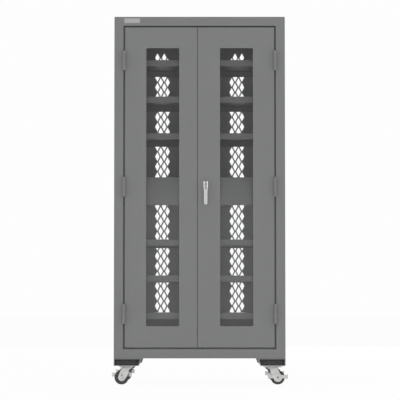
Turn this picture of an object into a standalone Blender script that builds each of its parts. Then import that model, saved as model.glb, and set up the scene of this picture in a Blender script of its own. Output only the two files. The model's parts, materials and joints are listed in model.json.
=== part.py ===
"""Mobile charging cabinet with two windowed doors.

Metres, +Z up. The front faces -Y and +X is to the viewer's right.
The origin is on the floor, under the middle of the cabinet's bounding box.
"""

import math

import bmesh
import bpy
from mathutils import Matrix, Vector

# Clearances
SEAT_GAP = 0.0003
OVERRUN = 0.002
WELD_DISTANCE = 0.00001

# Sheet steel
SHEET = 0.0019
SHELF_SHEET = 0.0015

# Body
BODY_WIDTH = 0.9144
BODY_DEPTH = 0.6096
BODY_HEIGHT = 1.8288
FRAME_FACE = 0.049
JAMB_DEPTH = 0.0305
STOP_LIP = 0.010
FLOOR_FLANGE_SETBACK = 0.001

# Risers under the corners
RISER_HEIGHT = 0.040
RISER_WIDTH = 0.133
RISER_FLARE = 0.014
RISER_DEPTH = 0.133
RISER_SHEET = 0.0048

# Casters
CASTER_HEIGHT = 0.101
CASTER_OFFSET = 0.027
CASTER_PLATE_LONG = 0.105
CASTER_PLATE_SHORT = 0.079
CASTER_PLATE_THICKNESS = 0.0045
CASTER_BOLT_INSET = 0.0135
CASTER_BOLT_RADIUS = 0.0065
CASTER_BOLT_HEAD = 0.0050
RACE_RADIUS = 0.031
RACE_WAIST_RADIUS = 0.024
RACE_HEIGHT = 0.0075
CROWN_RADIUS = 0.030
CROWN_THICKNESS = 0.0035
KINGPIN_RADIUS = 0.0075
KINGPIN_HEAD = 0.0045
LEG_SHEET = 0.0035
LEG_INSIDE = 0.0385
LEG_TOP_LEAD = 0.016
LEG_TOP_TRAIL = 0.031
LEG_KNEE_TRAIL = 0.045
LEG_KNEE_HEIGHT = 0.058
LEG_TIP_SHIFT = 0.0035
LEG_TIP_RADIUS = 0.0185
WHEEL_RADIUS = 0.0381
WHEEL_WIDTH = 0.032
WHEEL_CROWN = 0.0035
TREAD_DEPTH = 0.0085
WEB_HALF = 0.0060
HUB_RADIUS = 0.0125
HUB_HALF = 0.0185
AXLE_RADIUS = 0.0047
AXLE_FIT = 0.0004
AXLE_HEAD_RADIUS = 0.0080
AXLE_HEAD = 0.0050
LEVER_HALF = 0.053
LEVER_RISES = {"left": 0.0140, "right": 0.0045}
LEVER_SHEET = 0.0030
LEVER_HUB_RADIUS = 0.0235
LEVER_ARM_HALF = 0.0090
LEVER_PAD_HALF = 0.0115
LEVER_PAD_LENGTH = 0.0140
LEVER_PAD_CURL = 0.0060

# Shelves, each by the height of its top as a share of the body's height
SHELF_HEIGHT_SHARES = (0.8754, 0.7674, 0.6594, 0.5293, 0.3469, 0.2413, 0.1320)
POWER_SHELF = 3
SHELF_SETBACK = 0.045
SHELF_REAR_GAP = 0.0496
SHELF_LIP = 0.033
SHELF_SIDE_GAP = 0.0010

# Cover under the middle shelf, over its wiring
COVER_HEIGHT = 0.1488
COVER_RETURN = 0.022

# Slotted posts that carry the shelves on clips
POST_WIDTH = 0.022
POST_DEPTH = 0.0085
POST_SHEET = 0.0015
POST_FRONT_SETBACK = 0.130
POST_REAR_SETBACK = 0.1196
POST_END_MARGIN = 0.020
CLIP_REACH = 0.014
CLIP_WIDTH = 0.016
CLIP_DROP = 0.018
CLIP_SHEET = 0.0020
SLOT_WIDTH = 0.0060
SLOT_HEIGHT = 0.0140

# Diamond vents in the back
VENT_COLUMNS = 4
VENT_SIDE_MARGIN = 0.2178
VENT_TOP_MARGIN = 0.1202
VENT_BOTTOM_MARGIN = 0.2000
VENT_PITCH_X = 0.0384
VENT_PITCH_Z = 0.0563
VENT_WIDTH = 0.0254
VENT_HEIGHT = 0.0500

# Power strips and inlet on the back
STRIP_WIDTH = 0.044
STRIP_DEPTH = 0.036
STRIP_EDGE = 0.004
STRIP_SPAN_SHARES = ((0.552, 0.902), (0.159, 0.432))
OUTLET_PITCH = 0.096
OUTLET_SIZE = 0.030
OUTLET_DEPTH = 0.0030
OUTLET_END_MARGIN = 0.040
INLET_HEIGHT = 0.120
INLET_WIDTH = 0.048
INLET_TALL = 0.036
INLET_DEPTH = 0.026
INLET_FLANGE = 0.010
INLET_FLANGE_SHEET = 0.0025
INLET_WALL = 0.0030
INLET_FIT = 0.0004

# Doors
DOOR_GAP = 0.0085
DOOR_DEPTH = 0.025
MEETING_LINE = -0.0115
MEETING_GAP = 0.0012
MEETING_RECESS = 0.0030
DOOR_RETURN = 0.0140
WINDOW_INNER = 0.1096
WINDOW_SIDE_MARGIN = 0.1719
WINDOW_BOTTOM_MARGIN = 0.1711
WINDOW_TOP_MARGIN = 0.1696
PANE_THICKNESS = 0.0048
PANE_LAP = 0.011
CHANNEL_SIDE_GAP = 0.0010
CHANNEL_LAP = 0.0085
CHANNEL_FOOT = 0.012
CHANNEL_SINK = 0.0005
CHANNEL_OVERLAP = 0.030

# Hinges
HINGE_END_MARGIN = 0.2364
HINGE_HEIGHT = 0.1050
KNUCKLES = 5
KNUCKLE_RADIUS = 0.0083
KNUCKLE_GAP = 0.0004
KNUCKLE_BORE = 0.0036
PIN_RADIUS = 0.0032
PIN_STANDOFF = 0.0090
PIN_HEAD_RADIUS = 0.0052
PIN_HEAD = 0.0018
LEAF_SHEET = 0.0025
LEAF_DEPTH = 0.0230
LEAF_SINK = 0.0004
LEAF_ROOT = 0.0042
LEAF_CLEAR = 0.0006
TAB_INSET = 0.0004

# Handle and latch in the right door
HANDLE_X = 0.0326
HANDLE_HEIGHT = 0.9144
HANDLE_STANDOFF = 0.010
HANDLE_TOP = 0.031
HANDLE_BOTTOM = 0.0965
HANDLE_HEAD_HALF = 0.0122
HANDLE_NECK_HALF = 0.0098
HANDLE_NECK_DROP = 0.0250
HANDLE_TIP_HALF = 0.0088
HANDLE_THICKNESS = 0.0150
HANDLE_NOTCH_HALF = 0.0035
HANDLE_NOTCH_DEPTH = 0.0075
HANDLE_RELIEF = 0.0045
POCKET_HALF = 0.0052
POCKET_TOP = 0.0190
POCKET_BOTTOM = 0.0230
POCKET_DEPTH = 0.0060
SPINDLE_RADIUS = 0.0085
COLLAR_RADIUS = 0.0125
SPINDLE_HOLE_GAP = 0.0004
PLUG_RADIUS = 0.0042
PLUG_LENGTH = 0.0100
PLUG_FIT = 0.0004
PLUG_STAND = 0.0004
KEYWAY_HALF = 0.0007
KEYWAY_LONG = 0.0026
KEYWAY_DEPTH = 0.0030
CAM_SHEET = 0.0035
CAM_SETBACK = 0.0050
CAM_HALF_LENGTH = 0.0240
CAM_HALF_WIDTH = 0.0090
ROD_RADIUS = 0.0048
ROD_SETBACK = 0.0150
ROD_TIP_CLEAR = 0.0035
ROD_INNER_END = 0.0300
ROD_FIT = 0.0004
STRIKE_FIT = 0.0015
ROD_TAPER = 0.0080
ROD_GUIDE_WALL = 0.0025
ROD_GUIDE_HEIGHT = 0.0160
ROD_GUIDE_OFFSET = 0.0900

# Facets round turned pieces
PIN_SIDES = 10
KNUCKLE_SIDES = 8
BOLT_SIDES = 6
WHEEL_SIDES = 20
TURNED_SIDES = 14
ARC_STEPS = 4

# Places worked out from the sizes above
HANDLE_REACH = HANDLE_STANDOFF + HANDLE_THICKNESS
FRONT = (HANDLE_REACH - BODY_DEPTH) / 2.0
REAR = FRONT + BODY_DEPTH
BOTTOM = RISER_HEIGHT + CASTER_HEIGHT
TOP = BOTTOM + BODY_HEIGHT
HALF_WIDTH = BODY_WIDTH / 2.0
OPENING_HALF = HALF_WIDTH - FRAME_FACE
OPENING_BOTTOM = BOTTOM + FRAME_FACE
OPENING_TOP = TOP - FRAME_FACE
DOOR_OUTER = OPENING_HALF - DOOR_GAP
DOOR_BOTTOM = OPENING_BOTTOM + DOOR_GAP
DOOR_TOP = OPENING_TOP - DOOR_GAP
PIN_X = OPENING_HALF - DOOR_GAP / 2.0
PIN_Y = FRONT - PIN_STANDOFF
SIDE_INNER = HALF_WIDTH - SHEET
BACK_FACE = REAR - SHEET
BEHIND_FRAME = FRONT + SHEET + SEAT_GAP
SHELF_HALF = SIDE_INNER - POST_DEPTH - SHELF_SIDE_GAP
SHELF_FRONT = FRONT + SHELF_SETBACK
HANDLE_Z = BOTTOM + HANDLE_HEIGHT
BODY_MIDDLE = BOTTOM + BODY_HEIGHT / 2.0
ROD_Y = FRONT + ROD_SETBACK
SHELF_REAR = REAR - SHELF_REAR_GAP
SHELF_TOPS = [BOTTOM + share * BODY_HEIGHT for share in SHELF_HEIGHT_SHARES]
POST_MIDDLES = (FRONT + POST_FRONT_SETBACK, REAR - POST_REAR_SETBACK)
WINDOW_OUTER = HALF_WIDTH - WINDOW_SIDE_MARGIN
WINDOW_BOTTOM = BOTTOM + WINDOW_BOTTOM_MARGIN
WINDOW_TOP = TOP - WINDOW_TOP_MARGIN
HINGE_SPACING = BODY_HEIGHT / 2.0 - HINGE_END_MARGIN
AXLE_HEIGHT = WHEEL_RADIUS

# Colours as linear red, green and blue, with roughness and metallic
FINISHES = {
    "body_paint": ((0.205, 0.207, 0.208), 0.45, 0.0),
    "zinc": ((0.62, 0.62, 0.60), 0.35, 1.0),
    "chrome": ((0.80, 0.80, 0.80), 0.12, 1.0),
    "tread": ((0.045, 0.045, 0.048), 0.65, 0.0),
    "clear_sheet": ((0.92, 0.94, 0.94), 0.05, 0.0),
    "black_plastic": ((0.02, 0.02, 0.02), 0.5, 0.0),
}


def clear_scene():
    """Remove the scene's objects and make the two collections."""
    for item in list(bpy.data.objects):
        bpy.data.objects.remove(item)
    for name in ("charging_cabinet", "cutters"):
        collection = bpy.data.collections.new(name)
        bpy.context.scene.collection.children.link(collection)


def finish_material(finish):
    """The material of one finish, made the first time it is asked for."""
    material = bpy.data.materials.get(finish)
    if material is None:
        material = bpy.data.materials.new(finish)
        material.use_nodes = True
        colour, roughness, metallic = FINISHES[finish]
        shader = material.node_tree.nodes["Principled BSDF"]
        shader.inputs["Base Color"].default_value = (*colour, 1.0)
        shader.inputs["Roughness"].default_value = roughness
        shader.inputs["Metallic"].default_value = metallic
    return material


def add_object(name, data, finish):
    """Link an object of the cabinet under its node name."""
    item = bpy.data.objects.new(name, data)
    bpy.data.collections["charging_cabinet"].objects.link(item)
    if not data.materials:
        data.materials.append(finish_material(finish))
    return item


def add_empty(name, place, turn=0.0):
    """An empty on a joint's axis, which carries the pieces that move there."""
    empty = bpy.data.objects.new(name, None)
    empty.location = place
    empty.rotation_euler = (0.0, 0.0, turn)
    bpy.data.collections["charging_cabinet"].objects.link(empty)
    return empty


def carry(empty, *items):
    """Parent pieces that were modelled in place to the empty of their joint."""
    bpy.context.view_layer.update()
    for item in items:
        item.parent = empty
        item.matrix_parent_inverse = empty.matrix_world.inverted()


def bake(item):
    """Replace an object's data by its evaluated mesh, closed and facing out."""
    depsgraph = bpy.context.evaluated_depsgraph_get()
    mesh = bpy.data.meshes.new_from_object(item.evaluated_get(depsgraph))
    edit = bmesh.new()
    edit.from_mesh(mesh)
    bmesh.ops.remove_doubles(edit, verts=edit.verts, dist=WELD_DISTANCE)
    bmesh.ops.recalc_face_normals(edit, faces=edit.faces)
    edit.to_mesh(mesh)
    edit.free()
    if item.type == "MESH":
        item.modifiers.clear()
        item.data = mesh
        return item
    name = item.name
    matrix = item.matrix_world.copy()
    bpy.data.objects.remove(item)
    baked = bpy.data.objects.new(name, mesh)
    bpy.data.collections["charging_cabinet"].objects.link(baked)
    baked.matrix_world = matrix
    return baked


def combine(item, operation, tools):
    """Cut or join tool solids one by one and remove them."""
    for tool in tools:
        modifier = item.modifiers.new("combine", "BOOLEAN")
        modifier.operation = operation
        modifier.solver = "EXACT"
        modifier.object = tool
        bake(item)
        bpy.data.objects.remove(tool)
    return item


def cut(item, *tools):
    return combine(item, "DIFFERENCE", tools)


def join(item, *tools):
    return combine(item, "UNION", tools)


def box(name, low, high, finish="body_paint"):
    """A box between its lowest and highest corners, from the cube primitive."""
    size = Vector(high) - Vector(low)
    centre = (Vector(high) + Vector(low)) / 2.0
    edit = bmesh.new()
    place = Matrix.Translation(centre) @ Matrix.Diagonal((*size, 1.0))
    bmesh.ops.create_cube(edit, size=1.0, matrix=place)
    mesh = bpy.data.meshes.new(name)
    edit.to_mesh(mesh)
    edit.free()
    return add_object(name, mesh, finish)


def pan(name, low, high, open_side, thickness, finish="body_paint"):
    """A folded sheet pan: a box without its open side, thickened inwards."""
    item = box(name, low, high, finish)
    edit = bmesh.new()
    edit.from_mesh(item.data)
    side = Vector(open_side)
    gone = [face for face in edit.faces if face.normal.dot(side) > 0.5]
    bmesh.ops.delete(edit, geom=gone, context="FACES_ONLY")
    edit.to_mesh(item.data)
    edit.free()
    return thicken(item, thickness)


def thicken(item, thickness):
    """Give an open surface its sheet thickness on the inner side."""
    solidify = item.modifiers.new("sheet", "SOLIDIFY")
    solidify.thickness = thickness
    solidify.offset = -1.0
    solidify.use_even_offset = True
    return bake(item)


def folded_outline(line, thickness):
    """Outline of a folded sheet whose thickness lies to the left of its line."""
    points = [Vector(point) for point in line]
    lefts = []
    for start, end in zip(points, points[1:]):
        along = (end - start).normalized()
        lefts.append(Vector((-along.y, along.x)))
    offset = [points[0] + lefts[0] * thickness]
    for point, before, after in zip(points[1:-1], lefts, lefts[1:]):
        mitre = (before + after) / (1.0 + before.dot(after))
        offset.append(point + mitre * thickness)
    offset.append(points[-1] + lefts[-1] * thickness)
    return points + offset[::-1]


def inset_outline(corners, thickness):
    """A closed outline moved inwards, for corners given anticlockwise."""
    points = [Vector(corner) for corner in corners]
    inset = []
    for index, point in enumerate(points):
        before = (point - points[index - 1]).normalized()
        after = (points[(index + 1) % len(points)] - point).normalized()
        left_before = Vector((-before.y, before.x))
        left_after = Vector((-after.y, after.x))
        mitre = (left_before + left_after) / (1.0 + left_before.dot(left_after))
        inset.append(point + mitre * thickness)
    return inset


def outline_solid(name, outlines, axis, low, high, finish="body_paint"):
    """Flat outlines, the first with the others as holes, extruded from low to high.

    Along Z an outline is in X and Y, along X in Y and Z, and along Y in X and Z.
    """
    curve = bpy.data.curves.new(name, "CURVE")
    curve.dimensions = "2D"
    curve.fill_mode = "BOTH"
    curve.extrude = (high - low) / 2.0
    for outline in outlines:
        spline = curve.splines.new("POLY")
        spline.points.add(len(outline) - 1)
        for point, place in zip(spline.points, outline):
            point.co = (place[0], place[1], 0.0, 1.0)
        spline.use_cyclic_u = True
    turns = {
        "X": Matrix(((0, 0, 1, 0), (1, 0, 0, 0), (0, 1, 0, 0), (0, 0, 0, 1))),
        "Y": Matrix(((1, 0, 0, 0), (0, 0, -1, 0), (0, 1, 0, 0), (0, 0, 0, 1))),
        "Z": Matrix.Identity(4),
    }
    middle = (low + high) / 2.0
    shift = Vector([middle if axis == letter else 0.0 for letter in "XYZ"])
    item = bake(add_object(name, curve, finish))
    item.data.transform(Matrix.Translation(shift) @ turns[axis])
    return item


def turned(name, profile, centre, sides, axis="Z", finish="zinc", ring=False):
    """A profile of (radius, height) pairs, top to bottom, turned by a Screw."""
    mesh = bpy.data.meshes.new(name)
    corners = [(radius, 0.0, height) for radius, height in profile]
    edges = [(index, index + 1) for index in range(len(corners) - 1)]
    if ring:
        edges.append((len(corners) - 1, 0))
    mesh.from_pydata(corners, edges, [])
    item = add_object(name, mesh, finish)
    screw = item.modifiers.new("turn", "SCREW")
    screw.steps = sides
    screw.render_steps = sides
    screw.use_merge_vertices = True
    screw.merge_threshold = 0.0001
    bake(item)
    quarter = math.pi / 2.0
    turns = {
        "X": Matrix.Rotation(quarter, 4, "Y"),
        "Y": Matrix.Rotation(-quarter, 4, "X"),
        "Z": Matrix.Identity(4),
    }
    item.data.transform(Matrix.Translation(Vector(centre)) @ turns[axis])
    return item


def round_bar(name, radius, centre, low, high, sides, axis="Z", finish="zinc"):
    """A plain cylinder along an axis, from low to high measured from its centre."""
    profile = [(0.0, high), (radius, high), (radius, low), (0.0, low)]
    return turned(name, profile, centre, sides, axis, finish)


def tube(name, outer, bore, centre, low, high, sides, axis="Z", finish="zinc"):
    """A bored cylinder along an axis."""
    profile = [(bore, high), (outer, high), (outer, low), (bore, low)]
    return turned(name, profile, centre, sides, axis, finish, ring=True)


def arc(centre, radius, start, end, steps):
    """Points of an arc, with its angles in degrees."""
    points = []
    for step in range(steps + 1):
        angle = math.radians(start + (end - start) * step / steps)
        points.append((
            centre[0] + radius * math.cos(angle),
            centre[1] + radius * math.sin(angle),
        ))
    return points


def smooth(item):
    """Shade round faces smooth and keep corners sharp."""
    item.data.shade_smooth()
    item.data.set_sharp_from_angle(angle=math.radians(35.0))
    return item


def build_face_frame():
    """Two stiles, the header and the sill, each a folded sheet with a stop lip."""
    jamb = FRONT + JAMB_DEPTH
    for side, name in ((-1.0, "stile_left"), (1.0, "stile_right")):
        line = [
            (side * HALF_WIDTH, FRONT),
            (side * OPENING_HALF, FRONT),
            (side * OPENING_HALF, jamb),
            (side * (OPENING_HALF - STOP_LIP), jamb),
        ]
        outline = folded_outline(line, -side * SHEET)
        stile = outline_solid(name, [outline], "Z", BOTTOM, TOP)
        xs = sorted((side * (OPENING_HALF - STOP_LIP - OVERRUN), side * (HALF_WIDTH + OVERRUN)))
        cut(stile, box(
            "top_notch",
            (xs[0], FRONT + SHEET, TOP - SHEET - SEAT_GAP),
            (xs[1], jamb + SHEET + OVERRUN, TOP + OVERRUN),
        ))
        add_frame_leaves(stile, side)
    reach = OPENING_HALF - SEAT_GAP
    rail_jamb = jamb - SHEET - SEAT_GAP
    header_line = [
        (FRONT, TOP),
        (FRONT, OPENING_TOP),
        (rail_jamb, OPENING_TOP),
        (rail_jamb, OPENING_TOP - STOP_LIP),
    ]
    header = outline_solid(
        "header", [folded_outline(header_line, SHEET)], "X", -reach, reach
    )
    sill_line = [
        (rail_jamb, BOTTOM),
        (FRONT, BOTTOM),
        (FRONT, OPENING_BOTTOM),
        (rail_jamb, OPENING_BOTTOM),
        (rail_jamb, OPENING_BOTTOM + STOP_LIP),
    ]
    sill = outline_solid(
        "sill", [folded_outline(sill_line, -SHEET)], "X", -reach, reach
    )
    for rail, level in ((header, OPENING_TOP), (sill, OPENING_BOTTOM)):
        cut(rail, rod_hole(level, STRIKE_FIT))


def rod_hole(level, fit):
    """Cutter for the latch rods' hole through a sheet at this level."""
    reach = SHEET + OVERRUN
    centre = (HANDLE_X, ROD_Y, level)
    return round_bar("rod_hole", ROD_RADIUS + fit, centre, -reach, reach, PIN_SIDES)


def build_shell():
    """Side, top and back sheets and the raised floor pan."""
    behind_back = BACK_FACE - SEAT_GAP
    for side, name in ((-1.0, "side_panel_left"), (1.0, "side_panel_right")):
        edges = sorted((side * SIDE_INNER, side * HALF_WIDTH))
        box(
            name,
            (edges[0], BEHIND_FRAME, BOTTOM),
            (edges[1], behind_back, TOP),
        )
    inner = SIDE_INNER - SEAT_GAP
    box(
        "top_panel",
        (-inner, BEHIND_FRAME, TOP - SHEET),
        (inner, behind_back, TOP),
    )
    floor_front = FRONT + JAMB_DEPTH + SHEET + SEAT_GAP
    pan(
        "floor_pan",
        (-inner, floor_front, BOTTOM + FLOOR_FLANGE_SETBACK),
        (inner, behind_back, OPENING_BOTTOM),
        (0.0, 0.0, -1.0),
        SHEET,
    )


def diamond(centre_x, centre_z):
    """Outline of one diamond vent."""
    half_width = VENT_WIDTH / 2.0
    half_height = VENT_HEIGHT / 2.0
    return [
        (centre_x + half_width, centre_z),
        (centre_x, centre_z + half_height),
        (centre_x - half_width, centre_z),
        (centre_x, centre_z - half_height),
    ]


def build_back_panel():
    """Back sheet with two mirrored strips of staggered diamond vents."""
    outlines = [[
        (-HALF_WIDTH, BOTTOM),
        (HALF_WIDTH, BOTTOM),
        (HALF_WIDTH, TOP),
        (-HALF_WIDTH, TOP),
    ]]
    first = TOP - VENT_TOP_MARGIN - VENT_HEIGHT / 2.0
    stagger = VENT_PITCH_Z / 2.0
    last = BOTTOM + VENT_BOTTOM_MARGIN + VENT_HEIGHT / 2.0 + stagger
    rows = 1 + int((first - last) / VENT_PITCH_Z)
    for side in (-1.0, 1.0):
        for column in range(VENT_COLUMNS):
            x = side * (HALF_WIDTH - VENT_SIDE_MARGIN - column * VENT_PITCH_X / 2.0)
            top = first - stagger * (column % 2)
            for row in range(rows):
                outlines.append(diamond(x, top - row * VENT_PITCH_Z))
    half_wide = INLET_WIDTH / 2.0 + INLET_FIT
    half_tall = INLET_TALL / 2.0 + INLET_FIT
    inlet = BOTTOM + INLET_HEIGHT
    outlines.append([
        (-half_wide, inlet - half_tall),
        (half_wide, inlet - half_tall),
        (half_wide, inlet + half_tall),
        (-half_wide, inlet + half_tall),
    ])
    outline_solid("back_panel", outlines, "Y", BACK_FACE, REAR)


def build_shelves():
    """Seven shelf pans that share one mesh, and the cover under the middle one."""
    model = pan(
        "shelf_1",
        (-SHELF_HALF, SHELF_FRONT, -SHELF_LIP),
        (SHELF_HALF, SHELF_REAR, 0.0),
        (0.0, 0.0, -1.0),
        SHELF_SHEET,
    )
    shelves = [model]
    for number in range(len(shelves) + 1, len(SHELF_TOPS) + 1):
        shelves.append(add_object(f"shelf_{number}", model.data, "body_paint"))
    for shelf, top in zip(shelves, SHELF_TOPS):
        shelf.location.z = top
    cover_top = SHELF_TOPS[POWER_SHELF]
    cover_bottom = cover_top - COVER_HEIGHT
    front = SHELF_FRONT - SHEET - SEAT_GAP
    line = [
        (front, cover_top),
        (front, cover_bottom),
        (front + COVER_RETURN, cover_bottom),
    ]
    outline_solid(
        "wiring_cover", [folded_outline(line, SHEET)], "X", -SHELF_HALF, SHELF_HALF
    )


def post_outline(side, middle):
    """Section of a shelf post: a channel with its back on the side panel."""
    wall = side * (SIDE_INNER - SEAT_GAP)
    face = side * (SIDE_INNER - POST_DEPTH)
    front = middle - POST_WIDTH / 2.0
    back = middle + POST_WIDTH / 2.0
    line = [(wall, front), (face, front), (face, back), (wall, back)]
    return folded_outline(line, -side * POST_SHEET)


def add_clip(post, side, middle, level):
    """Weld a bracket clip to a post so that its ledge is under a shelf's lip."""
    face = SIDE_INNER - POST_DEPTH
    ledge = level - SHELF_LIP - SEAT_GAP
    root = face + POST_SHEET / 2.0
    line = [
        (side * (root - CLIP_REACH), ledge),
        (side * root, ledge),
    ]
    rib = [
        (side * root, ledge),
        (side * root, ledge - CLIP_DROP),
        (side * (root - CLIP_REACH), ledge - CLIP_SHEET),
        (side * (root - CLIP_REACH), ledge),
    ]
    tray = outline_solid(
        "clip_ledge",
        [folded_outline(line, -side * CLIP_SHEET)],
        "Y",
        middle - CLIP_WIDTH / 2.0,
        middle + CLIP_WIDTH / 2.0,
        "zinc",
    )
    web = outline_solid(
        "clip_rib",
        [rib],
        "Y",
        middle - CLIP_SHEET / 2.0,
        middle + CLIP_SHEET / 2.0,
        "zinc",
    )
    join(post, tray, web)


def build_posts():
    """Four slotted posts with a clip under every shelf."""
    low = OPENING_BOTTOM + POST_END_MARGIN
    high = TOP - POST_END_MARGIN
    for side, side_name in ((-1.0, "left"), (1.0, "right")):
        for middle, place in zip(POST_MIDDLES, ("front", "rear")):
            name = f"shelf_post_{side_name}_{place}"
            outline = post_outline(side, middle)
            post = outline_solid(name, [outline], "Z", low, high, "zinc")
            slots = []
            for top in SHELF_TOPS:
                faces = sorted((
                    side * (SIDE_INNER - POST_DEPTH - OVERRUN),
                    side * (SIDE_INNER - POST_DEPTH + POST_SHEET + OVERRUN),
                ))
                slots.append(box(
                    "slot",
                    (faces[0], middle - SLOT_WIDTH / 2.0, top - SLOT_HEIGHT),
                    (faces[1], middle + SLOT_WIDTH / 2.0, top),
                ))
            cut(post, *slots)
            for top in SHELF_TOPS:
                add_clip(post, side, middle, top)


def build_power():
    """Two outlet strips on the back sheet and the inlet through it."""
    back = BACK_FACE - SEAT_GAP
    names = ("power_strip_upper", "power_strip_lower")
    for name, (low_share, high_share) in zip(names, STRIP_SPAN_SHARES):
        low = BOTTOM + low_share * BODY_HEIGHT
        high = BOTTOM + high_share * BODY_HEIGHT
        half = STRIP_WIDTH / 2.0
        section = [
            (-half, back),
            (half, back),
            (half, back - STRIP_DEPTH + STRIP_EDGE),
            (half - STRIP_EDGE, back - STRIP_DEPTH),
            (STRIP_EDGE - half, back - STRIP_DEPTH),
            (-half, back - STRIP_DEPTH + STRIP_EDGE),
        ]
        strip = outline_solid(name, [section], "Z", low, high, "black_plastic")
        spaces = int((high - low - 2.0 * OUTLET_END_MARGIN) / OUTLET_PITCH)
        start = (low + high - OUTLET_PITCH * spaces) / 2.0
        outlets = []
        for index in range(spaces + 1):
            middle = start + index * OUTLET_PITCH
            outlets.append(box(
                "outlet",
                (-OUTLET_SIZE / 2.0, back - STRIP_DEPTH - OVERRUN, middle - OUTLET_SIZE / 2.0),
                (OUTLET_SIZE / 2.0, back - STRIP_DEPTH + OUTLET_DEPTH, middle + OUTLET_SIZE / 2.0),
            ))
        cut(strip, *outlets)
    middle = BOTTOM + INLET_HEIGHT
    half_wide = INLET_WIDTH / 2.0
    half_tall = INLET_TALL / 2.0
    body = box(
        "power_inlet",
        (-half_wide, REAR - INLET_DEPTH, middle - half_tall),
        (half_wide, REAR - SEAT_GAP, middle + half_tall),
        "black_plastic",
    )
    flange_front = BACK_FACE - SEAT_GAP
    flange = box(
        "inlet_flange",
        (
            -half_wide - INLET_FLANGE,
            flange_front - INLET_FLANGE_SHEET,
            middle - half_tall - INLET_FLANGE,
        ),
        (half_wide + INLET_FLANGE, flange_front, middle + half_tall + INLET_FLANGE),
    )
    socket = box(
        "inlet_socket",
        (
            INLET_WALL - half_wide,
            REAR - INLET_DEPTH + INLET_WALL,
            middle - half_tall + INLET_WALL,
        ),
        (half_wide - INLET_WALL, REAR + OVERRUN, middle + half_tall - INLET_WALL),
    )
    cut(join(body, flange), socket)


def hinge_levels():
    """Middle heights of the three hinges of a door."""
    return [BODY_MIDDLE + step * HINGE_SPACING for step in (1.0, 0.0, -1.0)]


def knuckle_span(index):
    """Heights of one knuckle, counted from the top, about the hinge's middle."""
    pitch = HINGE_HEIGHT / KNUCKLES
    high = HINGE_HEIGHT / 2.0 - index * pitch
    return high - pitch + KNUCKLE_GAP / 2.0, high - KNUCKLE_GAP / 2.0


def leaf_pieces(side, face, level, own_knuckles):
    """The plate of a hinge leaf, and a tab to each knuckle that it carries.

    The face is the distance from the middle to the sheet that the leaf is welded
    to, and the plate sinks a little into that sheet.
    """
    inward = math.copysign(LEAF_SHEET, PIN_X - face)
    sunk = face - math.copysign(LEAF_SINK, inward)
    xs = sorted((side * sunk, side * (face + inward)))
    tab_xs = sorted((side * face, side * (face + inward)))
    half = HINGE_HEIGHT / 2.0
    clear = PIN_Y + KNUCKLE_RADIUS + LEAF_CLEAR
    plate_front = max(clear, FRONT + SHEET / 2.0)
    back = FRONT + LEAF_DEPTH
    plate = box(
        "leaf_plate",
        (xs[0], plate_front, level - half),
        (xs[1], back, level + half),
    )
    tabs = []
    for index in own_knuckles:
        low, high = knuckle_span(index)
        tabs.append(box(
            "leaf_tab",
            (tab_xs[0], PIN_Y + LEAF_ROOT, level + low + TAB_INSET),
            (tab_xs[1], plate_front + OVERRUN, level + high - TAB_INSET),
        ))
    return [plate, *tabs]


def add_frame_leaves(stile, side):
    """Weld the frame's half of three hinges to a stile."""
    for level in hinge_levels():
        own = range(0, KNUCKLES, 2)
        pieces = leaf_pieces(side, OPENING_HALF, level, own)
        join(stile, *pieces)
        for index in own:
            low, high = knuckle_span(index)
            centre = (side * PIN_X, PIN_Y, level)
            knuckle = tube(
                "knuckle", KNUCKLE_RADIUS, KNUCKLE_BORE, centre, low, high, KNUCKLE_SIDES
            )
            join(stile, knuckle)


def pin_profile():
    """The hinge pin with the door's knuckles on it, from top to bottom."""
    half = HINGE_HEIGHT / 2.0
    profile = [
        (0.0, half + PIN_HEAD),
        (PIN_HEAD_RADIUS, half + PIN_HEAD),
        (PIN_HEAD_RADIUS, half + SEAT_GAP),
        (PIN_RADIUS, half + SEAT_GAP),
    ]
    for index in range(1, KNUCKLES, 2):
        low, high = knuckle_span(index)
        profile += [
            (PIN_RADIUS, high),
            (KNUCKLE_RADIUS, high),
            (KNUCKLE_RADIUS, low),
            (PIN_RADIUS, low),
        ]
    profile += [
        (PIN_RADIUS, -half - SEAT_GAP),
        (PIN_HEAD_RADIUS, -half - SEAT_GAP),
        (PIN_HEAD_RADIUS, -half - PIN_HEAD),
        (0.0, -half - PIN_HEAD),
    ]
    return profile


def build_door_leaf(name, side, level):
    """The door's half of one hinge, with its pin."""
    centre = (side * PIN_X, PIN_Y, level)
    leaf = turned(name, pin_profile(), centre, KNUCKLE_SIDES, "Z", "body_paint")
    edge = DOOR_OUTER + LEAF_SINK + SEAT_GAP
    pieces = leaf_pieces(side, edge, level, range(1, KNUCKLES, 2))
    return join(leaf, *pieces)


def door_shell(name, left, right, side):
    """A folded door pan with lips round its back, in one sheet.

    The edge where the doors meet leans inwards, so that a door that is opened by
    itself clears the other.
    """
    low = (left, FRONT, DOOR_BOTTOM)
    high = (right, FRONT + DOOR_DEPTH, DOOR_TOP)
    shell = box(name, low, high)
    edit = bmesh.new()
    edit.from_mesh(shell.data)
    meeting = left if side > 0.0 else right
    back = [face for face in edit.faces if face.normal.y > 0.5]
    for vert in back[0].verts:
        if abs(vert.co.x - meeting) < MEETING_RECESS:
            vert.co.x += side * MEETING_RECESS
    bmesh.ops.inset_individual(edit, faces=back, thickness=DOOR_RETURN)
    bmesh.ops.delete(edit, geom=back, context="FACES_ONLY")
    edit.to_mesh(shell.data)
    edit.free()
    return thicken(shell, SHEET)


def build_door(name, left, right, side):
    """A door pan with its window and the channels that hold the pane."""
    door = door_shell(name, left, right, side)
    window_xs = sorted((side * WINDOW_INNER, side * WINDOW_OUTER))
    cut(door, box(
        "window",
        (window_xs[0], FRONT - OVERRUN, WINDOW_BOTTOM),
        (window_xs[1], FRONT + SHEET + OVERRUN, WINDOW_TOP),
    ))
    add_pane_channels(door, window_xs)
    return door


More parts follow.
